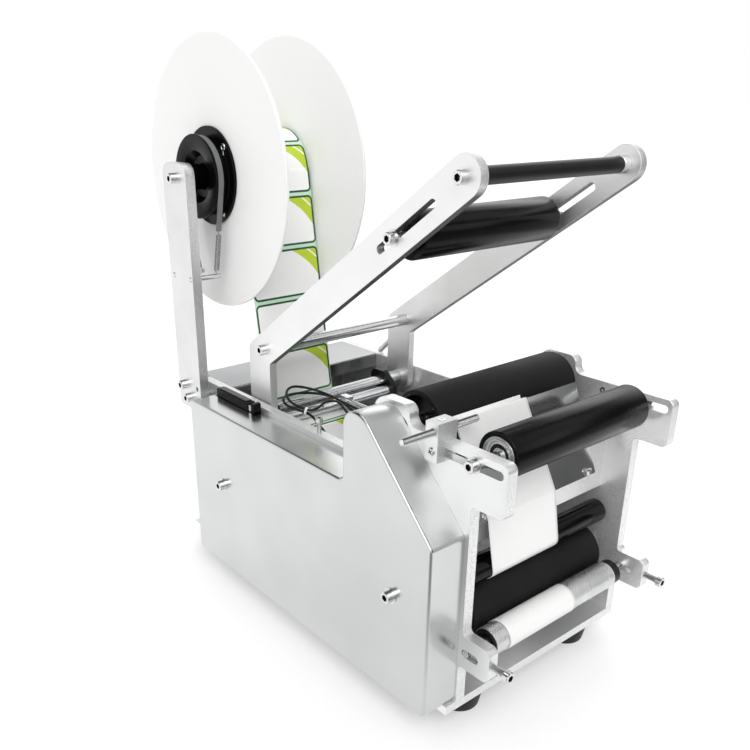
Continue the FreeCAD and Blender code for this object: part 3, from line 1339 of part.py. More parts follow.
def cable_tie():
    """A small band that holds the cable's two passes side by side."""
    width = 2.4
    wall = 0.8
    middles = []
    for run in (SENSOR_CABLE[4:6], SENSOR_CABLE[30:32]):
        near, far = Vector(*run[0]), Vector(*run[1])
        middles.append((near, (far - near).normalize()))
    along = (middles[0][1] + middles[1][1]).normalize()
    back = middles[0][0] + middles[0][1] * 6
    centres = []
    for near, heading in middles:
        centres.append(near + heading * ((back - near).dot(along) / heading.dot(along)))
    across = (centres[1] - centres[0])
    across = (across - along * across.dot(along))
    reach = across.Length
    across.normalize()
    side = along.cross(across)

    def oblong(radius):
        ends = [centres[0] - along * (width / 2), centres[0] + across * reach - along * (width / 2)]
        middle = Part.Face(Part.makePolygon([ends[0] + side * radius, ends[1] + side * radius,
                                             ends[1] - side * radius, ends[0] - side * radius,
                                             ends[0] + side * radius])).extrude(along * width)
        return middle.fuse([Part.makeCylinder(radius, width, end, along) for end in ends])

    inner = S.cable_dia.value / 2 + S.gap.value
    finish_part(shape_part("tie_ring", oblong(inner + wall).cut(oblong(inner))), "cable_tie")


base_plate()
rubber_feet()
left_casing()
side_plate("left_side_plate", S.casing_width, True)
side_plate("right_side_plate", inside_right, False)
cross_bar()
rear_cover()
big_roller("drive_roller", drive, inner_belt_x, [inner_belt_x])
big_roller("traction_roller", traction, outer_belt_x, [outer_belt_x, inner_belt_x])
plate_bearings()
idler_roller()
idler_shaft()
guide_roller()
knurled_roller()
nip_adjusters()
peel_plate()
frame_screws()
press_arm("press_arm_left", arm_left)
press_arm("press_arm_right", arm_right)
arm_fittings()
press_roller()
arm_pivot()
strip_rods()
guide_brackets()
reel_post()
reel_axle()
reel_hub()
brake_band()
brake_spring()
arm_spring()
label_strip()
liner()
label_bed()
drive_train()
electrics()
bottle_stop()
sensor()
cable("sensor_cable", SENSOR_CABLE)
cable_tie()

doc.recompute()
for item in doc.Objects:
    if "Invalid" in item.State or "Error" in item.State:
        raise RuntimeError(f"{item.Name} did not compute: {item.State}")
for item in parts:
    if item.Shape.isNull() or not item.Shape.isValid():
        raise RuntimeError(f"{item.Label} has no valid shape")

os.makedirs("parts", exist_ok=True)
for item in parts:
    item.Shape.exportStep(f"parts/{item.Label}.step")
print(len(parts), "pieces written")
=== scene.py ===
import cmath
import json
import math

import bmesh
import bpy
from mathutils import Matrix, Vector


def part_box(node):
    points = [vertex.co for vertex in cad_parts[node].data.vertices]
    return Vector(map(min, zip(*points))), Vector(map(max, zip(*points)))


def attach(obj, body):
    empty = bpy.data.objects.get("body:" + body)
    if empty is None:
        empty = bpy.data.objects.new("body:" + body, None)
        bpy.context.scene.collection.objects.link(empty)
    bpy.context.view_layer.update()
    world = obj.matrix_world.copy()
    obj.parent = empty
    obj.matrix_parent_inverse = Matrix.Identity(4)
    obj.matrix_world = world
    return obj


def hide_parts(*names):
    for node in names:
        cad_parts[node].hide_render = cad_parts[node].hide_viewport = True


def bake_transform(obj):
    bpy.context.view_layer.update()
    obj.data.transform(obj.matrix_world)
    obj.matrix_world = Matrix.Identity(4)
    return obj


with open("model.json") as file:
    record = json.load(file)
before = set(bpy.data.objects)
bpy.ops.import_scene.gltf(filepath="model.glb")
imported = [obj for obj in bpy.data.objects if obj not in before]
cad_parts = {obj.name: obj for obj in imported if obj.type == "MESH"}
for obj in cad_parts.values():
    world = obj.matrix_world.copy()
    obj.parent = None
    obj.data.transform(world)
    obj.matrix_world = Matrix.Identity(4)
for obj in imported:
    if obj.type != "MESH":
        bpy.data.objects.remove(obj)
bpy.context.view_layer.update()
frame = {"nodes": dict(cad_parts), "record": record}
nodes = frame["nodes"]
body_of = {node: body for body, members in frame["record"]["behaviour"]["bodies"].items() for node in members}
slot_of = {entry["node"]: entry["material_slot"] for entry in frame["record"]["subparts"]}

FULL_TURN = 2 * math.pi
X, Y, Z = Vector((1, 0, 0)), Vector((0, 1, 0)), Vector((0, 0, 1))
# the object's origin, in millimetres from the casing's outer wall, its front edge and the base plate's top
ORIGIN = Vector((126.75, 227.6, -28))


def at(x, y, z):
    """A place given in millimetres from the casing's outer wall, its front edge and the base plate's top."""
    return (Vector((x, y, z)) - ORIGIN) / 1000


def placed(name, data):
    """A new object in the scene, unturned at the origin."""
    made = bpy.data.objects.new(name, data)
    bpy.context.scene.collection.objects.link(made)
    return made


def wire_along(name, diameter, places, rings, steps):
    """A round wire along one smooth spline, drawn with so many rings and steps."""
    line = bpy.data.curves.new(name, "CURVE")
    line.dimensions = "3D"
    line.bevel_depth = diameter / 2
    line.bevel_resolution = rings
    line.resolution_u = steps
    spline = line.splines.new("NURBS")
    spline.points.add(len(places) - 1)
    for point, place in zip(spline.points, places):
        point.co = (*place, 1)
    spline.order_u = 3
    spline.use_endpoint_u = True
    return placed(name, line)


# ---------------------------------------------------------------------------------------------
# camera and cable

view = placed("camera", bpy.data.cameras.new("camera"))
bpy.context.scene.camera = view
view.location = (-0.49305, -0.5797, 0.4814)
view.rotation_euler = (math.radians(67.58), 0, math.radians(-38.93))
view.data.lens = 38.77
view.data.shift_x = 0.0430
view.data.shift_y = 0.0781
view.data.clip_start = 0.02

CABLE_DIAMETER = 0.0026
CABLE_ROUTE = [
    (45.5, 190, 158), (55.7, 190, 158), (64, 202, 160), (69, 222, 165), (72.7, 240.5, 169.4),
    (68.5, 252, 171.2), (63.5, 260.5, 173), (62.3, 269, 174.5), (65.5, 278, 175.6), (71.5, 284, 176),
    (79, 286.3, 176), (88.5, 286, 175.5), (98.5, 282.5, 174.6), (107.5, 277.5, 173.5), (115.5, 270, 172),
    (120.5, 261, 169.6), (122.5, 250, 166.3), (122, 238, 163.6), (121.2, 224, 162.7), (120.8, 212, 163),
    (115.6, 206.6, 163.7), (108.2, 206.6, 164.8), (103, 212, 166.5), (102.6, 222, 170),
    (104.6, 231.5, 173.8), (105.4, 238.8, 175.9), (100.2, 245, 176.6), (92.2, 245.3, 176.3), (85.5, 241.8, 175),
    (78.6, 240.9, 173.6), (72.9, 243.8, 172.8), (68.4, 253, 174.3), (66.6, 263, 176), (67.5, 272, 178),
    (71.5, 280.5, 180.5), (77.5, 286.5, 182.2), (86, 289.3, 182.6), (94, 286.6, 181.2), (102, 281.5, 179),
    (109, 273, 176.3), (113.2, 262, 174.2), (115, 250, 172.3), (116, 237, 171), (117.2, 222, 170),
    (119, 208, 168.3), (124.3, 202.6, 166.5), (131.8, 202.6, 164.5), (137.2, 208, 163), (137, 215.6, 162.5),
    (137, 222, 162.5),
]


def cable():
    piece = wire_along("sensor_lead", CABLE_DIAMETER, [at(*place) for place in CABLE_ROUTE], 4, 8)
    piece.data.materials.append(pvc_jacket)
    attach(piece, "machine_frame")
    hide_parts("sensor_cable")


# ---------------------------------------------------------------------------------------------
# materials

def linear(code):
    """An sRGB hex colour as linear red, green, blue and alpha."""
    channels = [int(code[i:i + 2], 16) / 255 for i in (1, 3, 5)]
    return (*[c / 12.92 if c <= 0.04045 else ((c + 0.055) / 1.055) ** 2.4 for c in channels], 1)


def add(tree, kind, *feeds, **named):
    """One shader node: feeds go to its sockets in their order and named ones by name; a name that is no socket
    is a setting. A feed is a value or another node's output. Gives the node's outputs."""
    node = tree.nodes.new("ShaderNode" + kind)
    for key in [key for key in named if key not in node.inputs]:
        setattr(node, key, named.pop(key))
    for key, value in [*enumerate(feeds), *named.items()]:
        if isinstance(value, bpy.types.NodeSocket):
            tree.links.new(value, node.inputs[key])
        elif value is not None:
            node.inputs[key].default_value = value
    return node.outputs


def material(name, **fixed):
    """A material with its tree, its shader and the piece's own coordinates in metres."""
    made = bpy.data.materials.new(name)
    made.use_nodes = True
    tree = made.node_tree
    shader = tree.nodes["Principled BSDF"]
    for key, value in fixed.items():
        shader.inputs[key.replace("_", " ")].default_value = value
    shader.inputs["Subsurface Radius"].default_value = (1, 1, 1)
    return made, tree, shader, add(tree, "TexCoord")["Object"]


def calc(tree, operation, *feeds):
    """One sum in the shader."""
    return add(tree, "Math", *feeds, operation=operation)[0]


def between(tree, share, first, second):
    """A colour between two, each a hex code or another node's output, by a share from 0 to 1."""
    first, second = [linear(c) if isinstance(c, str) else c for c in (first, second)]
    return add(tree, "Mix", share, *[None] * 5, first, second, data_type="RGBA")[2]


def grain(tree, place, per_mm, stretch=(1, 1, 1), detail=3.0, roughness=0.55):
    """Noise of so many grains to the millimetre, drawn out along an axis where stretch is small."""
    scaled = add(tree, "Mapping", place, Scale=[per_mm * 1000 * s for s in stretch])[0]
    return add(tree, "TexNoise", scaled, Scale=1.0, Detail=detail, Roughness=roughness)["Fac"]


def spread(tree, pattern, low, high, start=0.3, end=0.7):
    """A pattern's run from start to end, stretched to run from low to high."""
    return add(tree, "MapRange", pattern, start, end, low, high)[0]


def facing(tree):
    """Which way the surface looks, along X, Y and Z."""
    return add(tree, "SeparateXYZ", add(tree, "TexCoord")["Normal"])


def skin(tree, shader, colour, roughness, height, depth_mm, strength):
    """Gives a material its colour, its roughness and a relief of a real depth."""
    normal = add(tree, "Bump", Strength=strength, Distance=depth_mm / 1000, Height=height)[0]
    for socket, source in (("Base Color", colour), ("Roughness", roughness), ("Normal", normal)):
        tree.links.new(source, shader.inputs[socket])


def brushed_stainless(name, light, dark, rough, rubbed=0.0):
    """Cold-rolled stainless sheet with a satin rolled skin: a soft mirror, with lines that hardly show. Where it
    looks forward it is rubbed duller, as where hands and bottles pass."""
    made, tree, shader, place = material(name, Metallic=1.0)
    lines = grain(tree, place, 1.2, (1, 0.02, 1), 2.0)
    clouds = grain(tree, place, 0.012, detail=2.0)
    roughness = calc(tree, "ADD", spread(tree, lines, 0, 0.03), spread(tree, clouds, rough, rough + 0.05))
    if rubbed:
        looks = facing(tree)
        forward = calc(tree, "MULTIPLY", spread(tree, looks[1], 1, 0, -0.5, -0.1),
                       spread(tree, looks[2], 0, rubbed, 0.1, 0.4))
        roughness = calc(tree, "ADD", roughness, forward)
    skin(tree, shader, between(tree, spread(tree, clouds, 0, 1), light, dark), roughness, lines, 0.002, 0.2)
    return made


def blasted_aluminium(name, light, dark, rough, metal=1.0):
    """Aluminium plate, wiped flat faces and sawn edges that are blasted: the edges are grainy and greyer. The
    grit is drawn coarser than the real 0.1 mm, so that it shows at arm's length. The edges that look down are
    painted darker, as painted shade."""
    made, tree, shader, place = material(name, Metallic=metal)
    looks = facing(tree)
    edge = spread(tree, calc(tree, "ABSOLUTE", looks[0]), 1, 0, 0.35, 0.75)
    fine = grain(tree, place, 1.9)
    coarse = grain(tree, place, 2.0, roughness=0.6)
    clouds = grain(tree, place, 0.02)
    face = between(tree, spread(tree, clouds, 0, 1), light, dark)
    grit = between(tree, spread(tree, coarse, 0, 1, 0.38, 0.58), "#C6C7C8", "#FFFFFF")
    # edges that look down are mixed towards dark grey: painted shade
    edge_grit_and_under_shade = between(tree, spread(tree, looks[2], 1, 0, -0.8, -0.35), grit, "#77797A")
    roughness = calc(tree, "ADD", spread(tree, fine, 0, 0.06), spread(tree, clouds, rough, rough + 0.06))
    roughness = calc(tree, "MULTIPLY_ADD", edge, 0.06, roughness)
    height = calc(tree, "MULTIPLY", coarse, edge)
    height = calc(tree, "MULTIPLY_ADD", fine, 0.25, height)
    skin(tree, shader, between(tree, edge, face, edge_grit_and_under_shade), roughness, height, 0.05, 0.6)
    return made


def turned_steel():
    """Bright steel turned in a lathe: faint rings along the shaft."""
    made, tree, shader, place = material("turned_steel", Metallic=1.0)
    rings = grain(tree, place, 2.2, (1, 0.03, 0.03), 2.0)
    skin(tree, shader, between(tree, spread(tree, rings, 0, 1), "#C9CACC", "#E2E3E4"),
         spread(tree, rings, 0.16, 0.28), rings, 0.01, 0.4)
    return made


def plated_steel():
    """Nickel-plated fastener steel: a hard bright gloss with handling marks."""
    made, tree, shader, place = material("nickel_plated_steel", Metallic=1.0)
    marks = grain(tree, place, 0.9, detail=5.0)
    skin(tree, shader, between(tree, spread(tree, marks, 0, 1), "#CFCFD0", "#E8E8E9"),
         spread(tree, marks, 0.12, 0.26), marks, 0.008, 0.3)
    return made


def ground_rubber(name, tone, worn, rough, sheen_rough, grind=1.2, gloss=0.5, relief=0.3):
    """Nitrile rubber ground to size on its roller: black, faintly ringed, dusted grey where it is worn."""
    made, tree, shader, place = material(name, IOR=1.5, Specular_IOR_Level=gloss)
    rings = grain(tree, place, grind, (1, 0.25, 0.25))
    wear = grain(tree, place, 0.035, detail=5.0, roughness=0.65)
    roughness = calc(tree, "ADD", spread(tree, rings, 0, 0.05), spread(tree, wear, rough, sheen_rough))
    skin(tree, shader, between(tree, spread(tree, wear, 0, 1, 0.35, 0.8), tone, worn), roughness, rings, 0.01, relief)
    return made


def moulded_plastic(name, tone, other, rough, pits=1.4, gloss=0.5):
    """Moulded plastic with a spark-eroded texture from its mould."""
    made, tree, shader, place = material(name, IOR=1.49, Specular_IOR_Level=gloss)
    texture = grain(tree, place, pits, detail=4.0)
    clouds = grain(tree, place, 0.03)
    skin(tree, shader, between(tree, spread(tree, clouds, 0, 1), tone, other),
         spread(tree, texture, rough, rough + 0.1), texture, 0.03, 0.35)
    return made


def reel_sheet():
    """White rigid PVC sheet, cut to a disc: satin, faintly mottled and slightly see-through."""
    made, tree, shader, place = material("white_pvc_sheet", IOR=1.54, Subsurface_Weight=0.12,
                                         Subsurface_Scale=0.004)
    clouds = grain(tree, place, 0.01)
    texture = grain(tree, place, 0.5, detail=4.0)
    skin(tree, shader, between(tree, spread(tree, clouds, 0, 1), "#FEFEFD", "#FBFBFA"),
         spread(tree, texture, 0.38, 0.48), texture, 0.02, 0.25)
    return made


def glassine():
    """White glassine liner: a thin calendered paper with a silicone skin, satin and a little translucent."""
    made, tree, shader, place = material("glassine_liner", IOR=1.47, Subsurface_Weight=0.15,
                                         Subsurface_Scale=0.002)
    fibres = grain(tree, place, 0.6, (1, 0.5, 0.5), 4.0)
    waves = grain(tree, place, 0.02, detail=2.0)
    skin(tree, shader, between(tree, spread(tree, fibres, 0, 1), "#FFFFFE", "#FBFBFA"),
         spread(tree, waves, 0.3, 0.42), waves, 0.3, 0.35)
    return made


def satin_sheet(name, tone, other, rough):
    """Steel under a grey satin coat: an even orange-peel skin."""
    made, tree, shader, place = material(name, Metallic=0.35, IOR=1.5)
    peel = grain(tree, place, 0.7, detail=2.0)
    clouds = grain(tree, place, 0.015)
    skin(tree, shader, between(tree, spread(tree, clouds, 0, 1), tone, other),
         spread(tree, peel, rough, rough + 0.08), peel, 0.03, 0.3)
    return made


KNURL_PITCH = 0.002
KNURL_RADIUS = 12.15


def knurled(axis, radius):
    """Aluminium with a rolled diamond knurl round an axis: two crossing helical grooves, drawn 2 mm apart though
    a real knurl is nearer 1.2 mm, so that they read at arm's length. The grooves are painted darker than the ridges, as
    painted shade."""
    made, tree, shader, place = material("knurled_aluminium", Metallic=0.75)
    shifted = add(tree, "Mapping", place, Location=(0, -axis.y, -axis.z))[0]
    axes = add(tree, "SeparateXYZ", shifted)
    angle = calc(tree, "ARCTAN2", axes[2], axes[1])
    ridges_round = round(FULL_TURN * radius / KNURL_PITCH)
    round_the_rim = calc(tree, "MULTIPLY", angle, ridges_round / FULL_TURN)
    along = calc(tree, "MULTIPLY", axes[0], 1 / KNURL_PITCH)
    ridges = []
    for operation in ("ADD", "SUBTRACT"):
        phase = calc(tree, operation, round_the_rim, along)
        ridges.append(calc(tree, "PINGPONG", phase, 0.5))
    height = calc(tree, "MINIMUM", *ridges)
    wear = grain(tree, place, 0.06, detail=4.0)
    # colour runs from dark grey in the grooves to white on the ridges: painted shade, with random wear on top
    tone = calc(tree, "ADD", spread(tree, height, 0, 0.8, 0.0, 0.3), spread(tree, wear, 0, 0.2))
    skin(tree, shader, between(tree, tone, "#9A9C9E", "#FFFFFF"), spread(tree, wear, 0.2, 0.34), height, 0.22, 0.8)
    return made


LABEL_WIDTH = 0.084
LABEL_PITCH = 0.0505
LABEL_CORNER = 0.0045
LABEL_MARGINS = (0.0012, 0.0022)


def label_print():
    """Coated label paper on its liner: a white face with a rounded dark green rule, a lime corner cut by a
    white arc, and the pale green liner between two labels. The sheet map is in metres."""
    made, tree, shader, place = material("coated_label_paper", IOR=1.5, Coat_Weight=0.25, Coat_Roughness=0.15)
    axes = add(tree, "SeparateXYZ", add(tree, "UVMap", uv_map="sheet")[0])
    across = calc(tree, "SUBTRACT", axes[0], LABEL_WIDTH / 2)
    along = calc(tree, "MULTIPLY", axes[1], -1.0)
    along = calc(tree, "WRAP", along, LABEL_PITCH / 2, -LABEL_PITCH / 2)
    past = []
    for value, whole, margin in zip((across, along), (LABEL_WIDTH, LABEL_PITCH), LABEL_MARGINS):
        away = calc(tree, "ABSOLUTE", value)
        past.append(calc(tree, "SUBTRACT", away, whole / 2 - margin - LABEL_CORNER))
    outside = add(tree, "CombineXYZ", *[calc(tree, "MAXIMUM", value, 0.0) for value in past])[0]
    far = add(tree, "VectorMath", outside, operation="LENGTH")["Value"]
    inside = calc(tree, "MINIMUM", calc(tree, "MAXIMUM", *past), 0.0)
    edge = calc(tree, "SUBTRACT", calc(tree, "ADD", far, inside), LABEL_CORNER)
    from_left = calc(tree, "ADD", across, 0.035)
    from_foot = calc(tree, "MULTIPLY_ADD", along, 1.3, 0.040)
    corner = add(tree, "CombineXYZ", from_left, from_foot)[0]
    sweep = add(tree, "VectorMath", corner, operation="LENGTH")["Value"]
    lime = calc(tree, "GREATER_THAN", sweep, 0.0815)
    arc = calc(tree, "COMPARE", sweep, 0.0935, 0.0008)
    rule = calc(tree, "COMPARE", edge, -0.0004, 0.0010)
    gap = calc(tree, "GREATER_THAN", edge, 0.0)
    face = "#FFFFFE"
    for mask, code in ((lime, "#C3D82E"), (arc, "#FFFFFE"), (gap, "#CDEBD2"), (rule, "#0A5229")):
        face = between(tree, mask, face, code)
    fibres = grain(tree, place, 0.8, detail=4.0)
    toned = add(tree, "HueSaturation", Color=face, Value=spread(tree, fibres, 0.985, 1))[0]
    height = calc(tree, "SUBTRACT", calc(tree, "MULTIPLY", fibres, 0.1), gap)
    skin(tree, shader, toned, spread(tree, fibres, 0.36, 0.46), height, 0.08, 0.5)
    return made


stainless = brushed_stainless("satin_stainless_sheet", "#D4D5D5", "#CDCECE", 0.19, 0.24)
mirror_stainless = brushed_stainless("bright_annealed_stainless", "#E6E7E7", "#DFE0E0", 0.1)
# a darker, glossier copy of the casing's stainless for its folds: painted shade line along each fold
fold_shade_stainless = brushed_stainless("fold_painted_shade_stainless", "#CDCECF", "#C4C5C6", 0.07)
# a darker copy of the casing's stainless, standing in for the cover's darker reflection: painted shade
cover_steel = brushed_stainless("rear_cover_stainless", "#B9BABB", "#AEAFB0", 0.2)
plate = blasted_aluminium("blasted_aluminium_plate", "#F0F0F0", "#E8E9E9", 0.26, 0.8)
# a lighter copy of the same blasted plate for the base plate, right side plate and cross bar: painted light against the
# shade they stand in
lighter_aluminium_plate = blasted_aluminium("blasted_aluminium_painted_light", "#FFFFFF", "#FAFAFA", 0.22, 0.6)
arm_plate = blasted_aluminium("satin_aluminium_arm", "#F4F4F4", "#F0F0F0", 0.42)
post_plate = blasted_aluminium("satin_aluminium_post", "#E2E2E2", "#DADADA", 0.3)
shaft_steel = turned_steel()
plated = plated_steel()
drawn_wire = satin_sheet("oiled_spring_wire", "#8E9092", "#A2A4A6", 0.24)
band_grey = satin_sheet("spring_steel_band", "#6E7072", "#7C7E80", 0.35)
drive_rubber = ground_rubber("ground_nitrile_rubber", "#121213", "#1C1C1D", 0.55, 0.65, gloss=0.22)
smooth_rubber = ground_rubber("polished_nitrile_rubber", "#040404", "#080808", 0.2, 0.25, 1.2, 0.18, 0.06)
polished_black = ground_rubber("hard_black_anodised_tube", "#030303", "#060606", 0.12, 0.16, 2.0, 0.16, 0.06)
foot_rubber = ground_rubber("moulded_foot_rubber", "#0F0F10", "#191919", 0.45, 0.55, 0.7, 0.3)
black_abs = moulded_plastic("black_abs", "#0A0A0B", "#101011", 0.33, 1.4, 0.3)
grip_tube = moulded_plastic("black_nylon_tube", "#0D0D0E", "#171718", 0.36, 1.0, 0.3)
dark_case = moulded_plastic("dark_polycarbonate_case", "#040404", "#080808", 0.2, 1.4, 0.12)
grey_abs = moulded_plastic("grey_abs", "#3A3B3C", "#434445", 0.35)
nylon = moulded_plastic("natural_nylon", "#E9E8E2", "#F1F0EC", 0.35)
pvc_jacket = moulded_plastic("black_pvc_jacket", "#0A0A0B", "#121213", 0.3, 0.8, 0.4)
# dark finish for screw sockets, cross recesses and thread roots, where it is painted shade; the set screw is dark steel
# all over
dark_steel_and_recess_shade = moulded_plastic("dark_steel_painted_recess_shade", "#0C0C0D", "#1A1A1B", 0.3, 2.0, 0.3)
disc_white = reel_sheet()
label_face = label_print()
liner_paper = glassine()
knurl = knurled((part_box("knurled_roller")[0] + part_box("knurled_roller")[1]) / 2, KNURL_RADIUS / 1000)


# ---------------------------------------------------------------------------------------------
# making pieces

def piece_from(mesh, finish, body="machine_frame", stands_for=None, slot=None, bevel=0.0, crease=30.0, inlay=None):
    """Puts a finished mesh in the scene: smooth faces, creases, a fine rounded edge, material and body.
    stands_for is the CAD node that it replaces, inlay a second finish, for the faces with material index 1."""
    piece = placed(mesh.name, mesh)
    mesh.materials.append(finish)
    if inlay:
        mesh.materials.append(inlay)
    mesh.shade_smooth()
    if bevel:
        rounding = piece.modifiers.new("rounded_edges", "BEVEL")
        rounding.width = bevel / 1000
        rounding.segments = 3
        rounding.limit_method = "ANGLE"
        rounding.angle_limit = math.radians(crease)
        rounding.harden_normals = True
    else:
        mesh.set_sharp_from_angle(angle=math.radians(crease))
    if body:
        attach(piece, body)
    if stands_for:
        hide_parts(stands_for)
    return piece


def piece_of(name, bm, *args, **kwargs):
    mesh = bpy.data.meshes.new(name)
    bm.to_mesh(mesh)
    bm.free()
    return piece_from(mesh, *args, **kwargs)


def welded(node):
    """A merged copy of a CAD node's loose triangles."""
    bm = bmesh.new()
    bm.from_mesh(nodes[node].data)
    bmesh.ops.remove_doubles(bm, verts=bm.verts, dist=2e-6)
    return bm


def solid_of(node):
    """A CAD node's shape as a closed mesh with its flat faces joined."""
    bm = welded(node)
    bmesh.ops.dissolve_limit(bm, angle_limit=math.radians(0.6), verts=bm.verts, edges=bm.edges)
    return bm


def islands(node):
    """Lowest and highest corner of each separate solid of a CAD node, from the front left to the back right."""
    bm = welded(node)
    left = set(bm.verts)
    boxes = []
    while left:
        group, queue = [], [left.pop()]
        while queue:
            vert = queue.pop()
            group.append(vert.co)
            near = {edge.other_vert(vert) for edge in vert.link_edges} & left
            left -= near
            queue += near
        boxes.append((Vector(map(min, *group)), Vector(map(max, *group))))
    bm.free()
    return sorted(boxes, key=lambda box: [round(value, 4) for value in box[0]])


def solids(node):
    """Each solid of a CAD node: its number, corners, size in mm, and the node's name for the first one alone,
    whose new piece stands for the node."""
    for index, (low, high) in enumerate(islands(node)):
        yield index, low, high, (high - low) * 1000, None if index else node


def end_of(low, high, side):
    """The middle of a box's face on the side that an axis points to."""
    return (low + high) / 2 + Vector([half * way for half, way in zip((high - low) / 2, side)])


def barrel(low, high):
    """A round solid's left end, its length and its radius, the last two in mm."""
    return end_of(low, high, -X), (high.x - low.x) * 1000, (high.y - low.y) * 500


FOLD = 7
RIM = 0.0002
WIDE_FACE = 3e-5


def dressed(node, finish, bevel=0.35, crease=30.0, fold=None, fold_shade_finish=None):
    """The CAD shape itself with a fine edge break and its own finish. fold(edge) picks the edges that take the
    whole bevel as a sheet's fold, in a darker, glossier finish of their own that paints a shade line along the fold;
    the others take a tenth of it. Flat faces are given a narrow rim, so that the rounding beside them does not bend the
    light across them."""
    sharp = math.radians(crease)
    bm = solid_of(node)
    flat = bm.faces.layers.int.new("flat")
    for face in bm.faces:
        curved = sum(edge.calc_length() for edge in face.edges if 0.005 < edge.calc_face_angle(0.0) < sharp)
        face[flat] = int(curved < 0.5 * face.calc_perimeter())

    def break_edges(picks, width, segments, index):
        picked = [edge for edge in bm.edges if edge.calc_face_angle(0.0) > sharp and picks(edge)]
        bmesh.ops.bevel(bm, geom=picked, offset=width / 1000, offset_type="OFFSET", segments=segments, profile=0.5,
                        affect="EDGES", clamp_overlap=True, material=index)

    if fold:
        break_edges(fold, bevel, 4, FOLD)
    if bevel:
        break_edges(bool, bevel * (0.1 if fold else 1.0), 2 if fold else 3, FOLD + 1)
    wide = [face for face in bm.faces
            if face[flat] and face.material_index < FOLD and face.calc_area() > WIDE_FACE]
    bmesh.ops.inset_individual(bm, faces=wide, thickness=RIM, use_even_offset=True)
    for face in bm.faces:
        face.material_index = int(face.material_index == FOLD)
    return piece_of(node + "_dressed", bm, finish, body_of[node], node, slot_of[node], crease=crease + 6,
                    inlay=fold_shade_finish)


def lathe(bm, origin, axis, outline, steps=64):
    """Adds a turned shape: outline is (mm along the axis, mm from it), spun round the axis. One that starts off
    the axis is a ring, and is closed."""
    axis = Vector(axis).normalized()
    side = axis.orthogonal().normalized()
    ring = [bm.verts.new(origin + axis * (along / 1000) + side * (out / 1000)) for along, out in outline]
    edges = [bm.edges.new(pair) for pair in zip(ring, ring[1:])]
    if outline[0][1] > 0:
        edges.append(bm.edges.new((ring[-1], ring[0])))
    bmesh.ops.spin(bm, geom=ring + edges, cent=origin, axis=axis, angle=FULL_TURN, steps=steps,
                   use_merge=True, dvec=(0, 0, 0))
    bmesh.ops.remove_doubles(bm, verts=bm.verts, dist=1e-7)
    bmesh.ops.recalc_face_normals(bm, faces=bm.faces)


def turned(name, origin, axis, outline, steps, finish, *args, **kwargs):
    bm = bmesh.new()
    lathe(bm, origin, axis, outline, steps)
    return piece_of(name, bm, finish, *args, **kwargs)


def both_ends(half, long):
    """A whole outline from its left half."""
    return half + [(long - along, out) for along, out in reversed(half)]


def standing(seat, axis):
    """Turns what was made upright at the origin to stand on its seat along an axis."""
    return Matrix.Translation(seat) @ Z.rotation_difference(axis).to_matrix().to_4x4()


def socket_head(bm, seat, axis, radius, height, key):
    """A cap screw's head with its hexagon socket, standing on its seat along an axis, sizes in mm."""
    made = bmesh.ops.create_circle(bm, cap_ends=True, radius=radius / 1000, segments=24)["verts"]
    verts = set(made)

    def raise_top(top, up, inset=0.0, keep=False):
        if inset:
            bmesh.ops.inset_individual(bm, faces=[top], thickness=inset / 1000, use_even_offset=True)
        else:
            grown = bmesh.ops.extrude_face_region(bm, geom=[top])["geom"]
            if not keep:
                bmesh.ops.delete(bm, geom=[top], context="FACES_ONLY")
            top = [item for item in grown if isinstance(item, bmesh.types.BMFace)][0]
        bmesh.ops.translate(bm, verts=top.verts, vec=(0, 0, up / 1000))
        verts.update(top.verts)
        return top

    chamfer = radius * 0.1
    top = raise_top(made[0].link_faces[0], height - chamfer, keep=True)
    top = raise_top(top, chamfer, chamfer)
    top = raise_top(top, 0, radius * 0.9 - key * 1.12)
    outside = {face for face in bm.faces if face is not top}
    for vert in top.verts:
        angle = math.atan2(vert.co.y, vert.co.x) % (math.pi / 3) - math.pi / 6
        flat = Vector((vert.co.x, vert.co.y, 0)).normalized() * (key / 1000 / math.cos(angle))
        vert.co.x, vert.co.y = flat.x, flat.y
    top = raise_top(top, -height * 0.55)
    raise_top(top, -key * 0.3, key * 0.45)
    # the socket's faces take the dark second finish: painted shade inside the socket
    for face in bm.faces:
        if face not in outside:
            face.material_index = 1
    bmesh.ops.transform(bm, matrix=standing(seat, axis), verts=[vert for vert in verts if vert.is_valid])
    bmesh.ops.recalc_face_normals(bm, faces=bm.faces)


def cross_head(bm, seat, axis, radius, height):
    """A pan-head screw with a cross recess on its crown, drawn as two thin blades in the dark second finish: painted
    shade.
    """
    lathe(bm, seat, axis, [(0, 0), (0, radius), (height * 0.35, radius), (height * 0.75, radius * 0.8),
                           (height, radius * 0.45), (height, 0)], 24)
    crown = standing(seat + axis * (height / 1000 - 0.0001), axis)
    size = Matrix.Diagonal((radius * 1.15 / 1000, radius * 0.26 / 1000, 0.0004, 1))
    for angle in (0.6, 0.6 + math.pi / 2):
        blade = bmesh.ops.create_cube(bm, size=1.0)["verts"]
        bmesh.ops.transform(bm, matrix=crown @ Matrix.Rotation(angle, 4, "Z") @ size, verts=blade)
        # the blades take the dark second finish: painted shade of the cross recess
        for face in {face for vert in blade for face in vert.link_faces}:
            face.material_index = 1


def thread(start, end, radius, pitch=1.0, depth=0.55):
    """The outline of a threaded length, as (mm along, mm out)."""
    count = max(1, int(abs(end - start) / pitch))
    step = (end - start) / count
    turns = [(start + step * (index + share), radius - sunk)
             for index in range(count) for share, sunk in ((0, depth), (0.3, depth), (0.65, 0))]
    return turns + [(end, radius - depth)]


def paint_root_shade(bm, origin, axis, radius=3.0, depth=0.55):
    """Gives the faces at the root of a thread the dark second finish: painted shade in the roots."""
    # the dark finish in the thread roots is painted shade
    for face in bm.faces:
        away = face.calc_center_median() - origin
        away -= axis * away.dot(axis)
        if abs(away.length * 1000 - radius + depth) < 0.12:
            face.material_index = 1


WASHER = 6.5
WASHER_THICK = 1.5


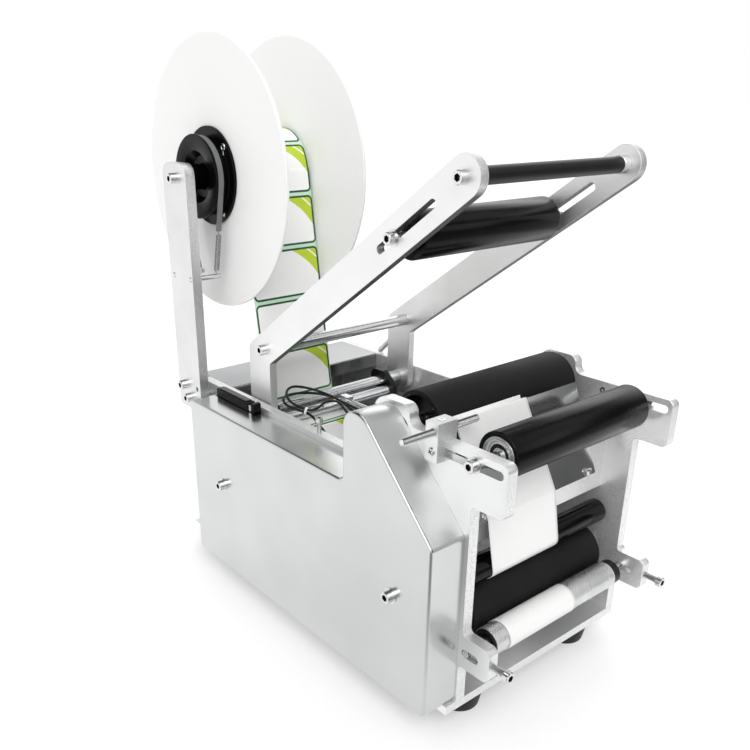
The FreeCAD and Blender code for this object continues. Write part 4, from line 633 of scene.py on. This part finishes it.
def screw(name, low, high, body, head_high=6.0, washer=False, stands_for=None):
    """A socket cap screw along X in the place of a CAD solid, with its head on the outside of the machine, and a
    flat and a spring washer under it where it has them."""
    axis = X if low.x > 0 else -X
    seat = end_of(low, high, axis) - axis * (head_high / 1000)
    long = (seat - end_of(low, high, -axis)).length * 1000
    stem = 3.0
    bm = bmesh.new()
    socket_head(bm, seat, axis, 5.0, head_high, 2.5)
    lathe(bm, seat, axis, [(0, 0), (0, stem), (-long + 0.6, stem), (-long, stem - 0.6), (-long, 0)], 32)
    if washer:
        split = -0.55 * WASHER_THICK
        for inner, start, radius, end in ((stem + 0.2, 0.05 - WASHER_THICK, WASHER, split),
                                          (stem + 0.3, split, WASHER * 0.8, 0)):
            lathe(bm, seat, axis, [(start, inner), (start, radius), (end, radius), (end, inner)], 40)
    return piece_of(name, bm, plated, body, stands_for, crease=35.0, inlay=dark_steel_and_recess_shade)


# ---------------------------------------------------------------------------------------------
# plates, casing and base

casing_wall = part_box("left_casing")[0].x


def turns_over(edge):
    """Whether the casing's sheet is folded here: its outer wall on one side and a wide face on the other."""
    reach = [max(vert.co.x for vert in face.verts) - casing_wall for face in edge.link_faces]
    return max(vert.co.x for vert in edge.verts) < casing_wall + 0.0003 and min(reach) < 0.0003 and max(reach) > 0.006


for entry in (
        ("base_plate", lighter_aluminium_plate, 0.4), ("left_side_plate", plate, 0.45), ("right_side_plate", lighter_aluminium_plate, 0.45),
        ("cross_bar", lighter_aluminium_plate, 0.4), ("label_bed", plate, 0.3),
        ("left_casing", stainless, 2.2, 40.0, turns_over, fold_shade_stainless), ("rear_cover", cover_steel, 0.3),
        ("peel_plate", mirror_stainless, 0.15), ("reel_post", post_plate, 0.45),
        ("press_arm_left", arm_plate, 0.5), ("press_arm_right", arm_plate, 0.5), ("stop_block", arm_plate, 0.4),
        ("gear_motor", black_abs, 0.8), ("electronics", grey_abs, 0.4), ("motor_shaft", shaft_steel, 0.0),
        ("drive_belts", pvc_jacket, 0.0), ("plate_bearings", shaft_steel, 0.3), ("reel_axle", shaft_steel, 0.3),
        ("arm_cross_rod", shaft_steel, 0.2), ("arm_pivot_shaft", shaft_steel, 0.2),
        ("knurled_shaft", shaft_steel, 0.2), ("guide_bracket_left", black_abs, 0.4),
        ("guide_bracket_right", black_abs, 0.4), ("sensor_head", shaft_steel, 0.2), ("brake_band", band_grey, 0.0),
        ("power_inlet", black_abs, 0.3), ("power_switch", dark_case, 0.4), ("cable_tie", nylon, 0.0)):
    dressed(*entry)


# ---------------------------------------------------------------------------------------------
# rollers

def sleeve(name, node, finish, round_mm, bore=None):
    """A tube in the place of a CAD roller, with its rims rounded over."""
    start, long, radius = barrel(*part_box(node))
    soft = [(round_mm * (1 - math.cos(a)), radius - round_mm * (1 - math.sin(a)))
            for a in (0, math.pi / 8, math.pi / 4, 3 * math.pi / 8, math.pi / 2)]
    turned(name, start, X, both_ends([(0, bore or radius - 2)] + soft, long), 128, finish, body_of[node], node,
           crease=50.0)


def idler():
    start, long, radius = barrel(*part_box("idler_roller"))
    half = [(0.3, 15.2), (0, 15.5), (0, radius - 1), (0.3, radius - 0.3), (1, radius)]
    turned("idler_roller_rubber", start, X, both_ends(half, long), 128, smooth_rubber, "idler", "idler_roller",
           crease=50.0)
    half = [(8, 8), (8, 11), (0.5, 11), (0.1, 11.4), (0.1, 13), (0.5, 13.1), (0.5, 13.4), (0.1, 13.5), (0.1, 14.9),
            (0.4, 15.2)]
    turned("idler_tube", start, X, both_ends(half, long), 96, shaft_steel, "idler", crease=40.0)
    rings = bmesh.new()
    shields = bmesh.new()
    for side, (low, high) in zip((-X, X), islands("idler_bearings")):
        outer = Vector((end_of(low, high, side).x, *start.yz))
        wide = (high.x - low.x) * 1000
        lathe(rings, outer, -side, [(0.3, 10.9), (0, 10.6), (0, 9.4), (0.3, 9.1), (1.2, 9.1), (1.2, 8.6),
                                    (wide - 0.3, 8.6), (wide, 9.4), (wide, 11), (0.3, 11)])
        lathe(rings, outer, -side, [(0, 5.9), (0.3, 6.2), (wide - 0.3, 6.2), (wide, 5.9), (wide, 4.05), (0, 4.05)], 48)
        lathe(shields, outer, -side, [(0.7, 9.0), (0.7, 6.3), (1.1, 6.3), (1.1, 9.0)], 48)
    piece_of("idler_bearing_rings", rings, plated, "idler", "idler_bearings", "machined_steel")
    piece_of("idler_bearing_shields", shields, black_abs, "idler")


def roller_core(roller):
    """A tube with a hub set deep in each end: its inside takes a black finish as painted shade, with a thin bright line
    where the tube was faced.
    """
    node = roller + "_core"
    body = body_of[node]
    axis = sum(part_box(node), Vector()) / 2
    low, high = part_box(roller + "_cover")
    bm = solid_of(node)
    for face in bm.faces:
        middle = face.calc_center_median()
        out = (middle - axis).yz.length
        # faces inside the tube take the black second finish: painted shade in the deep hollow
        painted_shade_hollow = low.x - 0.0001 < middle.x < high.x + 0.0001 and (out < 0.0238 or abs(face.normal.x) > 0.9)
        face.material_index = int(painted_shade_hollow)
    piece_of(roller + "_tube_and_shaft", bm, shaft_steel, body, node, inlay=black_abs)
    rim = bmesh.new()
    heads = bmesh.new()
    for edge, inward in ((low.x, X), (high.x, -X)):
        end = Vector((edge, axis.y, axis.z))
        lathe(rim, end, inward, [(0.05, 24.0), (0.05, 24.45), (1, 24.45), (1, 24.0)], 96)
        for third in range(3):
            turn = Matrix.Rotation(FULL_TURN * third / 3 + 0.5, 4, "X") @ Vector((0, 0, 0.0135))
            socket_head(heads, end + inward * 0.014 + turn, -inward, 2.8, 3.0, 1.25)
    piece_of(roller + "_rims", rim, shaft_steel, body, crease=40.0)
    piece_of(roller + "_hub_screws", heads, plated, body, inlay=dark_steel_and_recess_shade)


def press_roll():
    start, long, radius = barrel(*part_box("press_roller"))
    half = [(0, 4.1), (0, 7.5), (1, 8), (1, 9), (1.2, 9.4), (1.0, radius - 1.2), (1.35, radius - 0.35), (2.2, radius)]
    turned("press_roller_rubber", start, X, both_ends(half, long), 128, smooth_rubber, "press_roller",
           "press_roller", crease=50.0)


def knurled_roll():
    """The knurled tube runs on over most of its left end cap."""
    start, long, radius = barrel(*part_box("knurled_roller"))
    over = 7.5
    outline = [(0, 6), (0, 11.4), (-over, 11.4), (-over, radius - 0.4), (0.4 - over, radius), (long - 0.8, radius),
               (long, radius - 0.8), (long, 6)]
    turned("knurled_roller_tube", start, X, outline, 128, knurl, "nip_roller", "knurled_roller")
    bm = bmesh.new()
    for side, (low, high) in zip((-X, X), islands("knurled_roller_ends")):
        wide = (high.x - low.x) * 1000
        lathe(bm, Vector((end_of(low, high, side).x, *start.yz)), -side,
              [(0, 4.05), (0, 6.4), (1.2, 6.8), (1.2, 9.2), (0, 9.6), (0, 10.8), (0.5, 11.3), (wide, 11.3),
               (wide, 4.05)])
    piece_of("knurled_roller_caps", bm, black_abs, "nip_roller", "knurled_roller_ends")


sleeve("drive_roller_rubber", "drive_roller_cover", drive_rubber, 0.7)
sleeve("traction_roller_rubber", "traction_roller_cover", drive_rubber, 0.7)
sleeve("guide_roller_tube", "guide_roller", polished_black, 0.8, 4.05)
idler()
press_roll()
knurled_roll()
roller_core("drive_roller")
roller_core("traction_roller")


# ---------------------------------------------------------------------------------------------
# reel

# the strip leaves the roll at this angle round the reel, and its print has a label's middle there
ROLL_LEAVES = math.radians(170.98)


def reel():
    for node, name, bore in (("reel_disc_left", "reel_disc_inner", 38.0), ("reel_disc_right", "reel_disc_outer", 12.0)):
        disc, *collars = sorted(islands(node), key=lambda box: box[0].z)
        start, thick, radius = barrel(*disc)
        half = [(0, bore), (0, radius - 0.5), (0.5, radius)]
        turned(name, start, X, both_ends(half, thick), 160, disc_white, body_of[node], node, crease=20.0)
        for collar in collars:
            start, long, radius = barrel(*collar)
            turned("reel_clamp_collar", start, X,
                   [(0, 6.1), (0, 20), (1, 20.6), (4, 20.6), (5, 18.5), (long - 1, 18), (long, 17), (long, 6.1)], 64,
                   black_abs, body_of[node])


def hub():
    """The plastic core that the roll sits on, with its flange, the brake's drum and the dished drum face."""
    low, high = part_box("reel_hub")
    axis = Vector((0, (low.y + high.y) / 2, (low.z + high.z) / 2))
    outline = [(-100.2, 6.1), (-100.2, 11.5), (-99.7, 12), (-79.6, 12), (-79.0, 13), (-79.0, 18), (-79.6, 19.5),
               (-87.0, 24.5), (-87.7, 26), (-88.2, 36), (-88.2, 39.1), (-87.8, 39.5), (-86.5, 39.5),
               (-86.2, 39.1), (-86.0, 37.2), (-73.2, 37.2), (-72.8, 37.6), (-72.8, 46.1), (-72.4, 46.5),
               (-70.2, 46.5), (-69.8, 46.1), (-69.8, 38), (18.4, 38), (18.75, 37.6), (18.75, 35), (-65.8, 35),
               (-65.8, 12), (18.75, 12), (18.75, 6.1)]
    turned("reel_hub_moulding", axis, X, outline, 128, dark_case, "reel", "reel_hub", crease=28.0)
    bm = bmesh.new()
    for angle in (2.52, 4.09, 5.66):
        cross_head(bm, axis - X * 0.0728 + Matrix.Rotation(angle, 4, "X") @ Vector((0, 0, 0.042)), -X, 2.3, 1.2)
    piece_of("reel_flange_screws", bm, plated, "reel", inlay=dark_steel_and_recess_shade)
    eyelet = bmesh.new()
    place = axis - X * 0.0737 + Matrix.Rotation(0.83, 4, "X") @ Vector((0, 0, 0.0415))
    points = [cmath.rect(0.75, FULL_TURN * i / 12) + 2.9j for i in range(12)]
    lathe(eyelet, place, X, [(point.real, point.imag) for point in points], 48)
    lathe(eyelet, place - Z * 0.0032, -Z, [(0, 0), (0, 0.75), (4, 0.75), (4.4, 0.4), (4.4, 0)], 16)
    piece_of("reel_flange_eyelet", eyelet, plated, "reel")


def label_roll():
    start, long, radius = barrel(*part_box("label_roll"))
    bm = bmesh.new()
    lathe(bm, start, X, [(0, radius - 5.5), (0, radius), (long, radius), (long, radius - 5.5)], 128)
    sheet = bm.loops.layers.uv.new("sheet")
    for face in bm.faces:
        middle = face.calc_center_median() - start
        near = (math.atan2(middle.z, middle.y) - ROLL_LEAVES) % FULL_TURN - FULL_TURN
        for loop in face.loops:
            out = loop.vert.co - start
            angle = math.atan2(out.z, out.y) - ROLL_LEAVES
            angle += FULL_TURN * round((near - angle) / FULL_TURN)
            loop[sheet].uv = (out.x, angle * radius / 1000)
    piece_of("label_roll_turns", bm, label_face, "reel", "label_roll")


reel()
hub()
label_roll()


# ---------------------------------------------------------------------------------------------
# label strip and liner: complex numbers are places in the side view, back and up in mm

def turning_path(rounds):
    """Points along a taut strip round a row of circles: (y, z, turn), a positive turn lies on its left.
    An end has a turn of 0. The arcs are cut into steps of 4 degrees, the runs into 4 mm."""
    spots = [(complex(y, z), turn) for y, z, turn in rounds]
    runs = []
    for (near, near_turn), (far, far_turn) in zip(spots, spots[1:]):
        reach = far - near
        side = cmath.rect(1, cmath.phase(reach) + math.acos((far_turn - near_turn) / abs(reach)))
        runs.append((near - side * near_turn, far - side * far_turn))
    points = []
    for (start, end), after, (centre, turn) in zip(runs, runs[1:] + [None], spots[1:]):
        steps = max(2, int(abs(end - start) / 4))
        points += [start + (end - start) * i / steps for i in range(steps)]
        if after:
            first = cmath.phase(end - centre)
            last = cmath.phase(after[0] - centre)
            swing = (last - first) % FULL_TURN if turn > 0 else -((first - last) % FULL_TURN)
            steps = max(2, int(abs(swing) / math.radians(4)))
            points += [centre + cmath.rect(abs(turn), first + swing * i / steps) for i in range(steps)]
    return points + [runs[-1][1]]


def past(y, z, radius):
    """A round's place with the turn that the middle of the paper takes on it."""
    return y, z, radius + math.copysign(MIDDLE, radius)


def thickened(piece, thick):
    layer = piece.modifiers.new("paper_thickness", "SOLIDIFY")
    layer.thickness = thick / 1000
    layer.offset = 0.0


def paper(name, points, left, width, thick, finish, body="machine_frame", stands_for=None, columns=24):
    """A sheet along a path of points; left gives its left edge in mm at each of them."""
    lengths = [0.0]
    for near, far in zip(points, points[1:]):
        lengths.append(lengths[-1] + abs(far - near))
    rows = len(points) - 1
    bm = bmesh.new()
    sheet = bm.loops.layers.uv.new("sheet")
    bmesh.ops.create_grid(bm, x_segments=columns, y_segments=rows, size=0.5)
    places = {}
    for vert in bm.verts:
        across = (vert.co.x + 0.5) * width
        row = round((vert.co.y + 0.5) * rows)
        places[vert] = (across / 1000, lengths[row] / 1000)
        vert.co = at(left(points[row]) + across, points[row].real, points[row].imag)
    for face in bm.faces:
        for loop in face.loops:
            loop[sheet].uv = places[loop.vert]
    thickened(piece_of(name, bm, finish, body, stands_for, crease=60.0), thick)


GAP = 0.3
PAPER = 0.4
LINER = 0.32
MIDDLE = GAP + PAPER / 2
# what the strip and the liner run round: back, up and radius in mm, negative where it lies on their right
LABEL_ROLL = (377.5, 384.5, 43.7)
PIVOT_SHAFT = (291, 163, -6)
SMOOTH_ROD = (275.5, 156.8, -6)
BED_EDGE = (254, 147.2, 2)
TURN_ROD = (236, 100, -5)
LAST_ROD_RADIUS = -4
PEEL_EDGE_RADIUS = 0
PEEL_FOOT_EDGE = (14.5, 147.5, 1)
GUIDE_ROLLER = (21, 100, 11)
TRACTION_ROLLER = (31, 60, -26.5)
PEEL_THICK = 1.5
PEEL_TIP = complex(45, 224)
PEEL_FOOT = complex(13.5, 147)
peel_run = (PEEL_TIP - PEEL_FOOT) / abs(PEEL_TIP - PEEL_FOOT)
peel_back = peel_run * -1j
behind_tip = PEEL_TIP + peel_back * (PEEL_THICK + MIDDLE)


def strip():
    """Off the roll, under the pivot shaft and the smooth rod, over the bed, under the turn rod and up behind the
    peel plate, 4 mm clear of it until the last rod."""
    lift_up = 174.8
    stand = PEEL_THICK + PAPER + 2 * GAP + 4
    slope = (PEEL_TIP - PEEL_FOOT).real / (PEEL_TIP - PEEL_FOOT).imag
    lift_back = PEEL_FOOT.real + (lift_up - PEEL_FOOT.imag) * slope + stand / peel_back.real
    route = [past(*LABEL_ROLL), past(*PIVOT_SHAFT), past(*SMOOTH_ROD), past(*BED_EDGE), past(*TURN_ROD),
             past(lift_back, lift_up, LAST_ROD_RADIUS), (behind_tip.real, behind_tip.imag, 0)]
    paper("label_web", turning_path(route), lambda point: 60.0, 84.0, PAPER, label_face, stands_for="label_strip")


def blank_label():
    """The next label, face down on the peel edge and already 4 mm past it."""
    bm = bmesh.new()
    bmesh.ops.create_grid(bm, x_segments=1, y_segments=1, size=0.5)
    bm.loops.layers.uv.new("sheet")
    corners = [vert for vert in bm.verts if vert.co.x > 0 and vert.co.y > 0]
    bmesh.ops.bevel(bm, geom=corners, offset=0.03, segments=6, profile=0.5, affect="VERTICES", material=-1)
    for vert in bm.verts:
        place = behind_tip + peel_run * ((vert.co.y + 0.5) * 5.0 - 1.0)
        vert.co = at(66.5 + (vert.co.x + 0.5) * 80.0, place.real, place.imag)
    thickened(piece_of("label_edge", bm, liner_paper, slot="label_paper"), PAPER)


def skewed(point):
    """The liner runs slightly askew: it starts left and lands further right at the guide roller."""
    down = min(1.0, max(0.0, (224 - point.imag) / (224 - 95)))
    return 66.0 + 17.0 * down ** 1.1


def waste_liner():
    start = behind_tip + peel_run * 0.7
    route = [(start.real, start.imag, 0), past(PEEL_TIP.real, PEEL_TIP.imag, PEEL_EDGE_RADIUS),
             past(*PEEL_FOOT_EDGE), past(*GUIDE_ROLLER), past(*TRACTION_ROLLER), (4.32, 54.6, 0)]
    paper("waste_liner", turning_path(route), skewed, 85.0, LINER, liner_paper, stands_for="liner")


def liner_end():
    """The liner's free end, laid round the knurled roller from the nip on."""
    axis = sum(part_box("knurled_roller"), Vector()) / 2 * 1000 + ORIGIN
    centre = complex(axis.y, axis.z)
    nip = cmath.phase(complex(*TRACTION_ROLLER[:2]) - centre)
    points = [centre + cmath.rect(KNURL_RADIUS + MIDDLE, nip + math.radians(3.8) * index) for index in range(60)]
    paper("liner_free_end", points, lambda point: 75.0, 85.0, LINER, liner_paper, "nip_carriage", "liner_tail")


strip()
blank_label()
waste_liner()
liner_end()


# ---------------------------------------------------------------------------------------------
# screws and fittings

def fastenings():
    for index, (low, high) in enumerate(islands("arm_screws")):
        piece = screw(f"arm_screw_{index}", low, high, "press_arm")
    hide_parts("arm_screws")
    for node, body in (("idler_shaft", "idler_carriage"), ("press_roller_shaft", "press_carriage")):
        boxes = islands(node)
        rod = max(boxes, key=lambda box: box[1].x - box[0].x)
        start, long, radius = barrel(*rod)
        half = [(0, 3.1), (0, 3.6), (0.4, 4)]
        turned(node + "_rod", start + X * 0.00005, X, both_ends(half, long - 0.1), 48, shaft_steel, body, node)
        for index, (low, high) in enumerate(box for box in boxes if box is not rod):
            screw(f"{node}_screw_{index}", low, high, body, 5.0, True)


def frame_fasteners():
    for index, low, high, size, first in solids("frame_screws"):
        front = end_of(low, high, -Y)
        radius = size.x / 2
        name = f"peel_fixing_{index}"
        bm = bmesh.new()
        if size.x > 30:
            screw(f"wall_screw_{index}", low, high, "machine_frame", 5.0, True, first)
            continue
        if size.z > size.y:
            name = "plate_stud"
            socket_head(bm, end_of(low, high, Z) - Z * 0.004, Z, 3.4, 4.0, 1.6)
            lathe(bm, end_of(low, high, -Z), Z, [(0, 0)] + thread(0, 10, 2.0, 0.8, 0.35) + [(10, 0)], 24)
        elif abs(radius - 3.6) < 0.3:
            cross_head(bm, front + Y * 0.0016, -Y, 3.6, 1.6)
            lathe(bm, front + Y * 0.0016, Y, both_ends([(0, 0), (0, 2)], size.y - 1.6), 24)
        elif radius > 3:
            lathe(bm, front, Y, both_ends([(0, 2.05), (0, radius - 0.3), (0.3, radius)], size.y), 32)
        else:
            lathe(bm, front, Y, both_ends([(0, 0), (0, 2)], size.y), 24)
        piece_of(name, bm, plated, stands_for=first, inlay=dark_steel_and_recess_shade)


def post_fasteners():
    for index, low, high, size, first in solids("post_fittings"):
        start = end_of(low, high, -X)
        radius = size.z / 2
        groove = size.x - 3.2
        if size.z > 12:
            turned(f"post_spacer_{index}", start, X, both_ends([(0, 3.1), (0, 6.6), (0.4, 7)], size.x), 40,
                   shaft_steel, stands_for=first)
        elif size.z > 7:
            screw(f"post_screw_{index}", low, high, "machine_frame", stands_for=first)
        else:
            turned(f"brake_pin_{index}", start, X,
                   [(0, 0), (0, radius - 1), (1, radius), (groove, radius), (groove, radius - 0.7),
                    (groove + 1, radius - 0.7), (groove + 1, radius), (size.x - 0.5, radius),
                    (size.x, radius - 0.5), (size.x, 0)], 32, plated, stands_for=first)


def adjusters():
    for index, low, high, size, first in solids("nip_adjusting_bolts"):
        head = end_of(low, high, -Y) + Y * 0.005
        long = (high.y - head.y) * 1000
        bm = bmesh.new()
        socket_head(bm, head, -Y, 5.0, 5.0, 2.5)
        lathe(bm, head, Y, [(0, 0)] + thread(0, long, 3.0) + [(long, 0)], 32)
        paint_root_shade(bm, head, Y)
        piece_of(f"nip_adjuster_{index}", bm, plated, "nip_adjusters", first, inlay=dark_steel_and_recess_shade)


def grub_screw():
    """A socket set screw in the right plate, behind the end of the idler's slot, flush with the inner face."""
    place = at(0, 33, 213.8)
    place.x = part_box("right_side_plate")[0].x + 0.0004
    bm = bmesh.new()
    socket_head(bm, place, -X, 2.6, 0.8, 1.3)
    piece_of("right_plate_grub_screw", bm, dark_steel_and_recess_shade, inlay=dark_steel_and_recess_shade)


def stop_rod():
    start, long, radius = barrel(*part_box("stop_rod"))
    bm = bmesh.new()
    lathe(bm, start, X, [(0, 0), (0, 2.2)] + thread(0.5, long - 0.5, 3.0, 1.25) + [(long, 2.2), (long, 0)], 32)
    paint_root_shade(bm, start, X)
    piece_of("stop_rod_thread", bm, plated, "stop_rod", "stop_rod", "machined_steel", inlay=dark_steel_and_recess_shade)
    low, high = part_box("stop_block")
    bm = bmesh.new()
    socket_head(bm, end_of(low, high, Z) - Z * 0.0012, Z, 3.0, 1.5, 1.4)
    cross_head(bm, Vector((low.x, (low.y + high.y) / 2 - 0.001, low.z + 0.0085)), -X, 3.2, 1.8)
    piece_of("stop_block_screws", bm, plated, inlay=dark_steel_and_recess_shade)


SPRING_WIRE = 0.0009


def coil(name, start, end, radius, turns, finish, body=None, stands_for=None, hook=0.0):
    """A round-wire coil spring between two points, with straight ends where hook is not 0."""
    axis = (end - start).normalized()
    side = axis.cross(X).normalized()
    other = axis.cross(side)
    length = (end - start).length - 2 * hook
    steps = turns * 12
    points = [start] if hook else []
    for index in range(steps + 1):
        out = cmath.rect(radius - SPRING_WIRE / 2, FULL_TURN * index / 12)
        points.append(start + axis * (hook + length * index / steps) + side * out.real + other * out.imag)
    if hook:
        points.append(end)
    drawn = wire_along(name + "_line", SPRING_WIRE, points, 2, 3)
    bpy.context.view_layer.update()
    mesh = bpy.data.meshes.new_from_object(drawn.evaluated_get(bpy.context.evaluated_depsgraph_get()))
    bpy.data.objects.remove(drawn)
    mesh.name = name
    return piece_from(mesh, finish, body, stands_for, crease=60.0)


def springs():
    for index, low, high, size, first in solids("nip_springs"):
        front = end_of(low, high, -Y)
        rear = end_of(low, high, Y) - Y * 0.0001
        spring = coil(f"nip_spring_{index}", front, rear, 0.0028, 5, plated, stands_for=first)
        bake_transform(spring)
    low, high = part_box("brake_spring")
    foot, top = at(0, 358.4, 292.7), at(0, 349, 335)
    foot.x = top.x = (low.x + high.x) / 2
    coil("brake_spring_coil", foot, top, 0.0028, 30, drawn_wire, "machine_frame", "brake_spring", 0.0035)
    low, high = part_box("arm_spring")
    x = (low.x + high.x) / 2
    foot = Vector((x, high.y - 0.0008, low.z))
    top = Vector((x, low.y + 0.003, high.z - 0.0015))
    spring = coil("arm_spring_coil", foot, top, 0.0033, 70, plated, stands_for="arm_spring", hook=0.0035)
    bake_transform(spring)


def feet():
    for index, low, high, size, first in solids("rubber_feet"):
        wide = size.x / 2
        narrow = wide - 4
        tall = size.z
        turned(f"rubber_foot_{index}", end_of(low, high, Z), -Z,
               [(0, 0), (0, wide - 0.5), (0.5, wide - 0.1), (tall - 2, narrow + 0.4), (tall - 1, narrow - 0.1),
                (tall, narrow - 1.4), (tall, 8), (tall - 3, 7), (tall - 3, 0)], 64, foot_rubber, stands_for=first)


def grip():
    low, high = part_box("handle_grip")
    start, long, _ = barrel(low, high)
    radius = (high.z - low.z) * 500
    tube = radius - 0.6
    split = long - 8
    turned("handle_grip_tube", start, X,
           [(0, 3.1), (0, tube - 0.6), (0.6, tube), (split - 0.8, tube), (split - 0.05, tube - 0.6),
            (split - 0.05, 3.1)], 64, grip_tube, "press_arm", "handle_grip")
    turned("handle_grip_collar", start, X,
           [(split, 3.1), (split, radius - 0.4), (split + 0.4, radius), (long - 0.4, radius), (long, radius - 0.4),
            (long, 3.1)], 64, plate, "press_arm")


def rods():
    for index, low, high, size, first in solids("strip_rods"):
        start, long, _ = barrel(low, high)
        radius = size.z / 2
        outline = both_ends([(0, 0), (0, radius - 0.5), (0.5, radius)], long)
        if radius < 3.5:
            smooth = long - 14
            outline = [(0, 0), (0, radius - 0.5), *thread(0.5, smooth, radius, 1.25), (smooth, radius),
                       (long - 0.4, radius), (long, radius - 0.4), (long, 0)]
        turned(f"web_rod_{index}", start, X, outline, 48, shaft_steel, stands_for=first)


def block(name, low, high, finish, bevel, stands_for=None):
    bm = bmesh.new()
    bmesh.ops.create_cube(bm, size=1.0)
    bmesh.ops.transform(bm, matrix=Matrix.Translation((low + high) / 2) @ Matrix.Diagonal((*(high - low), 1)),
                        verts=bm.verts)
    piece_of(name, bm, finish, stands_for=stands_for, bevel=bevel)


def amplifier():
    """The fibre amplifier: a black case with a lid, its chromed fibre clamp and the end cap, on a thin black pad that
    paints the contact shadow under the case.
    Each block is given by what it leaves free of the CAD box, in mm: left, front, below, right, back, above."""
    low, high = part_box("sensor_amplifier")
    long = (high.y - low.y) * 1000
    deep = (high.z - low.z) * 1000
    for name, free, finish, bevel, stands_for in (
            # the thin black pad under the case is a painted contact shadow
            ("amplifier_shadow_pad", (0, 0, 0, 0, 0, deep - 0.8), foot_rubber, 0.1, None),
            ("amplifier_end_cap", (0.6, 1.2, 0.8, 0.6, long - 6.2, 0), dark_case, 0.5, None),
            ("amplifier_fibre_clamp", (1.4, 6.2, 0.8, 1.4, long - 11.7, 3), mirror_stainless, 0.3, None),
            ("amplifier_case", (0.6, 11.7, 0.8, 0.6, 1.2, 1.2), dark_case, 0.5, "sensor_amplifier"),
            ("amplifier_lid", (1.8, 15.7, deep - 1.2, 1.8, 6, 0), grey_abs, 0.4, None)):
        block(name, low + Vector(free[:3]) / 1000, high - Vector(free[3:]) / 1000, finish, bevel, stands_for)


fastenings()
frame_fasteners()
post_fasteners()
adjusters()
grub_screw()
stop_rod()
springs()
feet()
grip()
rods()
amplifier()
cable()


# ---------------------------------------------------------------------------------------------
# stage and light

def patch_of(tree, heading, towards, outer, inner, other, power=1.0):
    """A soft patch round a direction, limited by another number that runs from 0 to 1."""
    aim = add(tree, "VectorMath", heading, towards, operation="DOT_PRODUCT")["Value"]
    return calc(tree, "MULTIPLY", spread(tree, aim, 0, power, outer, inner), other)


def floor():
    """White paper, with dark cards on it that only the metal sees."""
    bm = bmesh.new()
    bmesh.ops.create_grid(bm, x_segments=1, y_segments=1, size=40.0)
    mesh = bpy.data.meshes.new("studio_floor")
    bm.to_mesh(mesh)
    bm.free()
    made, tree, shader, place = material("white_studio_paper", Roughness=1.0, Specular_IOR_Level=0.0)
    shader.inputs["Emission Color"].default_value = (1, 1, 1, 1)
    path = add(tree, "LightPath")
    shown = calc(tree, "MAXIMUM", path["Is Glossy Ray"], path["Is Transmission Ray"])
    shown = calc(tree, "MAXIMUM", path["Is Camera Ray"], shown)
    glow = calc(tree, "MULTIPLY", shown, 0.3)
    aimed = add(tree, "VectorMath", place, operation="NORMALIZE")[0]
    walked = add(tree, "VectorMath", place, operation="LENGTH")["Value"]
    dim = 0.0
    for towards, edge, middle, near, far in (((-0.629, -0.777, 0), 0.8, 0.97, 0.3, 0.5),
                                             ((0.707, 0.707, 0), 0.7, 0.9, 0.3, 0.5),
                                             ((0.63, -0.777, 0), 0.6, 0.85, 0.8, 1.1)):
        card = patch_of(tree, aimed, towards, edge, middle, spread(tree, walked, 0, 1, near, far))
        dim = calc(tree, "MAXIMUM", dim, card)
    dim = calc(tree, "MULTIPLY", dim, path["Is Glossy Ray"])
    tree.links.new(glow, shader.inputs["Emission Strength"])
    tree.links.new(between(tree, dim, "#E4E4E4", "#3C3C3C"), shader.inputs["Base Color"])
    mesh.materials.append(made)
    placed("studio_floor", mesh)


def surroundings():
    """An even white room; only the metal sees its darker ceiling, with four soft boxes."""
    world = bpy.data.worlds.new("studio")
    bpy.context.scene.world = world
    world.use_nodes = True
    tree = world.node_tree
    path = add(tree, "LightPath")
    heading = add(tree, "TexCoord")["Generated"]
    height = add(tree, "SeparateXYZ", heading)[2]
    ahead = patch_of(tree, heading, (0.63, -0.777, 0), 0.5, 0.75, spread(tree, height, 1, 0, 0.4, 0.5))
    ceiling = calc(tree, "MULTIPLY", spread(tree, height, 1, 0.07, 0.36, 0.54), spread(tree, ahead, 1, 0.06, 0, 1))
    lamps = [patch_of(tree, heading, (0.629, 0.777, 0), 0.5, 0.75, spread(tree, height, 1, 0, 0.5, 0.62), 1.1)]
    for towards, inner, outer, power in (((0.58, -0.47, 0.66), 0.96, 0.9, 0.86), ((-0.6, -0.35, 0.72), 0.95, 0.9, 1.0),
                                         ((0.58, -0.74, 0.34), 0.985, 0.955, 1.3), ((0, 0, 1), 0.97, 0.86, 1.6)):
        lamps.append(patch_of(tree, heading, towards, outer, inner, 1.0, power))
    for lamp in lamps:
        ceiling = calc(tree, "MAXIMUM", ceiling, lamp)
    lit = add(tree, "Mix", path["Is Glossy Ray"], None, 0.76, ceiling, data_type="FLOAT")[0]
    seen = calc(tree, "MAXIMUM", path["Is Camera Ray"], path["Is Transmission Ray"])
    strength = calc(tree, "MAXIMUM", seen, lit)
    background = tree.nodes["Background"].inputs
    tree.links.new(strength, background["Strength"])
    background["Color"].default_value = (1, 1, 1, 1)


def lamps():
    for name, come_from, strength, softness in (("key", (-0.45, -0.65, 0.75), 1.2, 36),
                                                ("fill", (0.75, 0.45, 0.7), 0.5, 44)):
        lamp = bpy.data.lights.new(name, "SUN")
        lamp.energy = strength
        lamp.angle = math.radians(softness)
        placed(name, lamp).rotation_euler = Vector(come_from).to_track_quat("Z", "Y").to_euler()


floor()
surroundings()
lamps()
bpy.context.scene.view_settings.view_transform = "Standard"
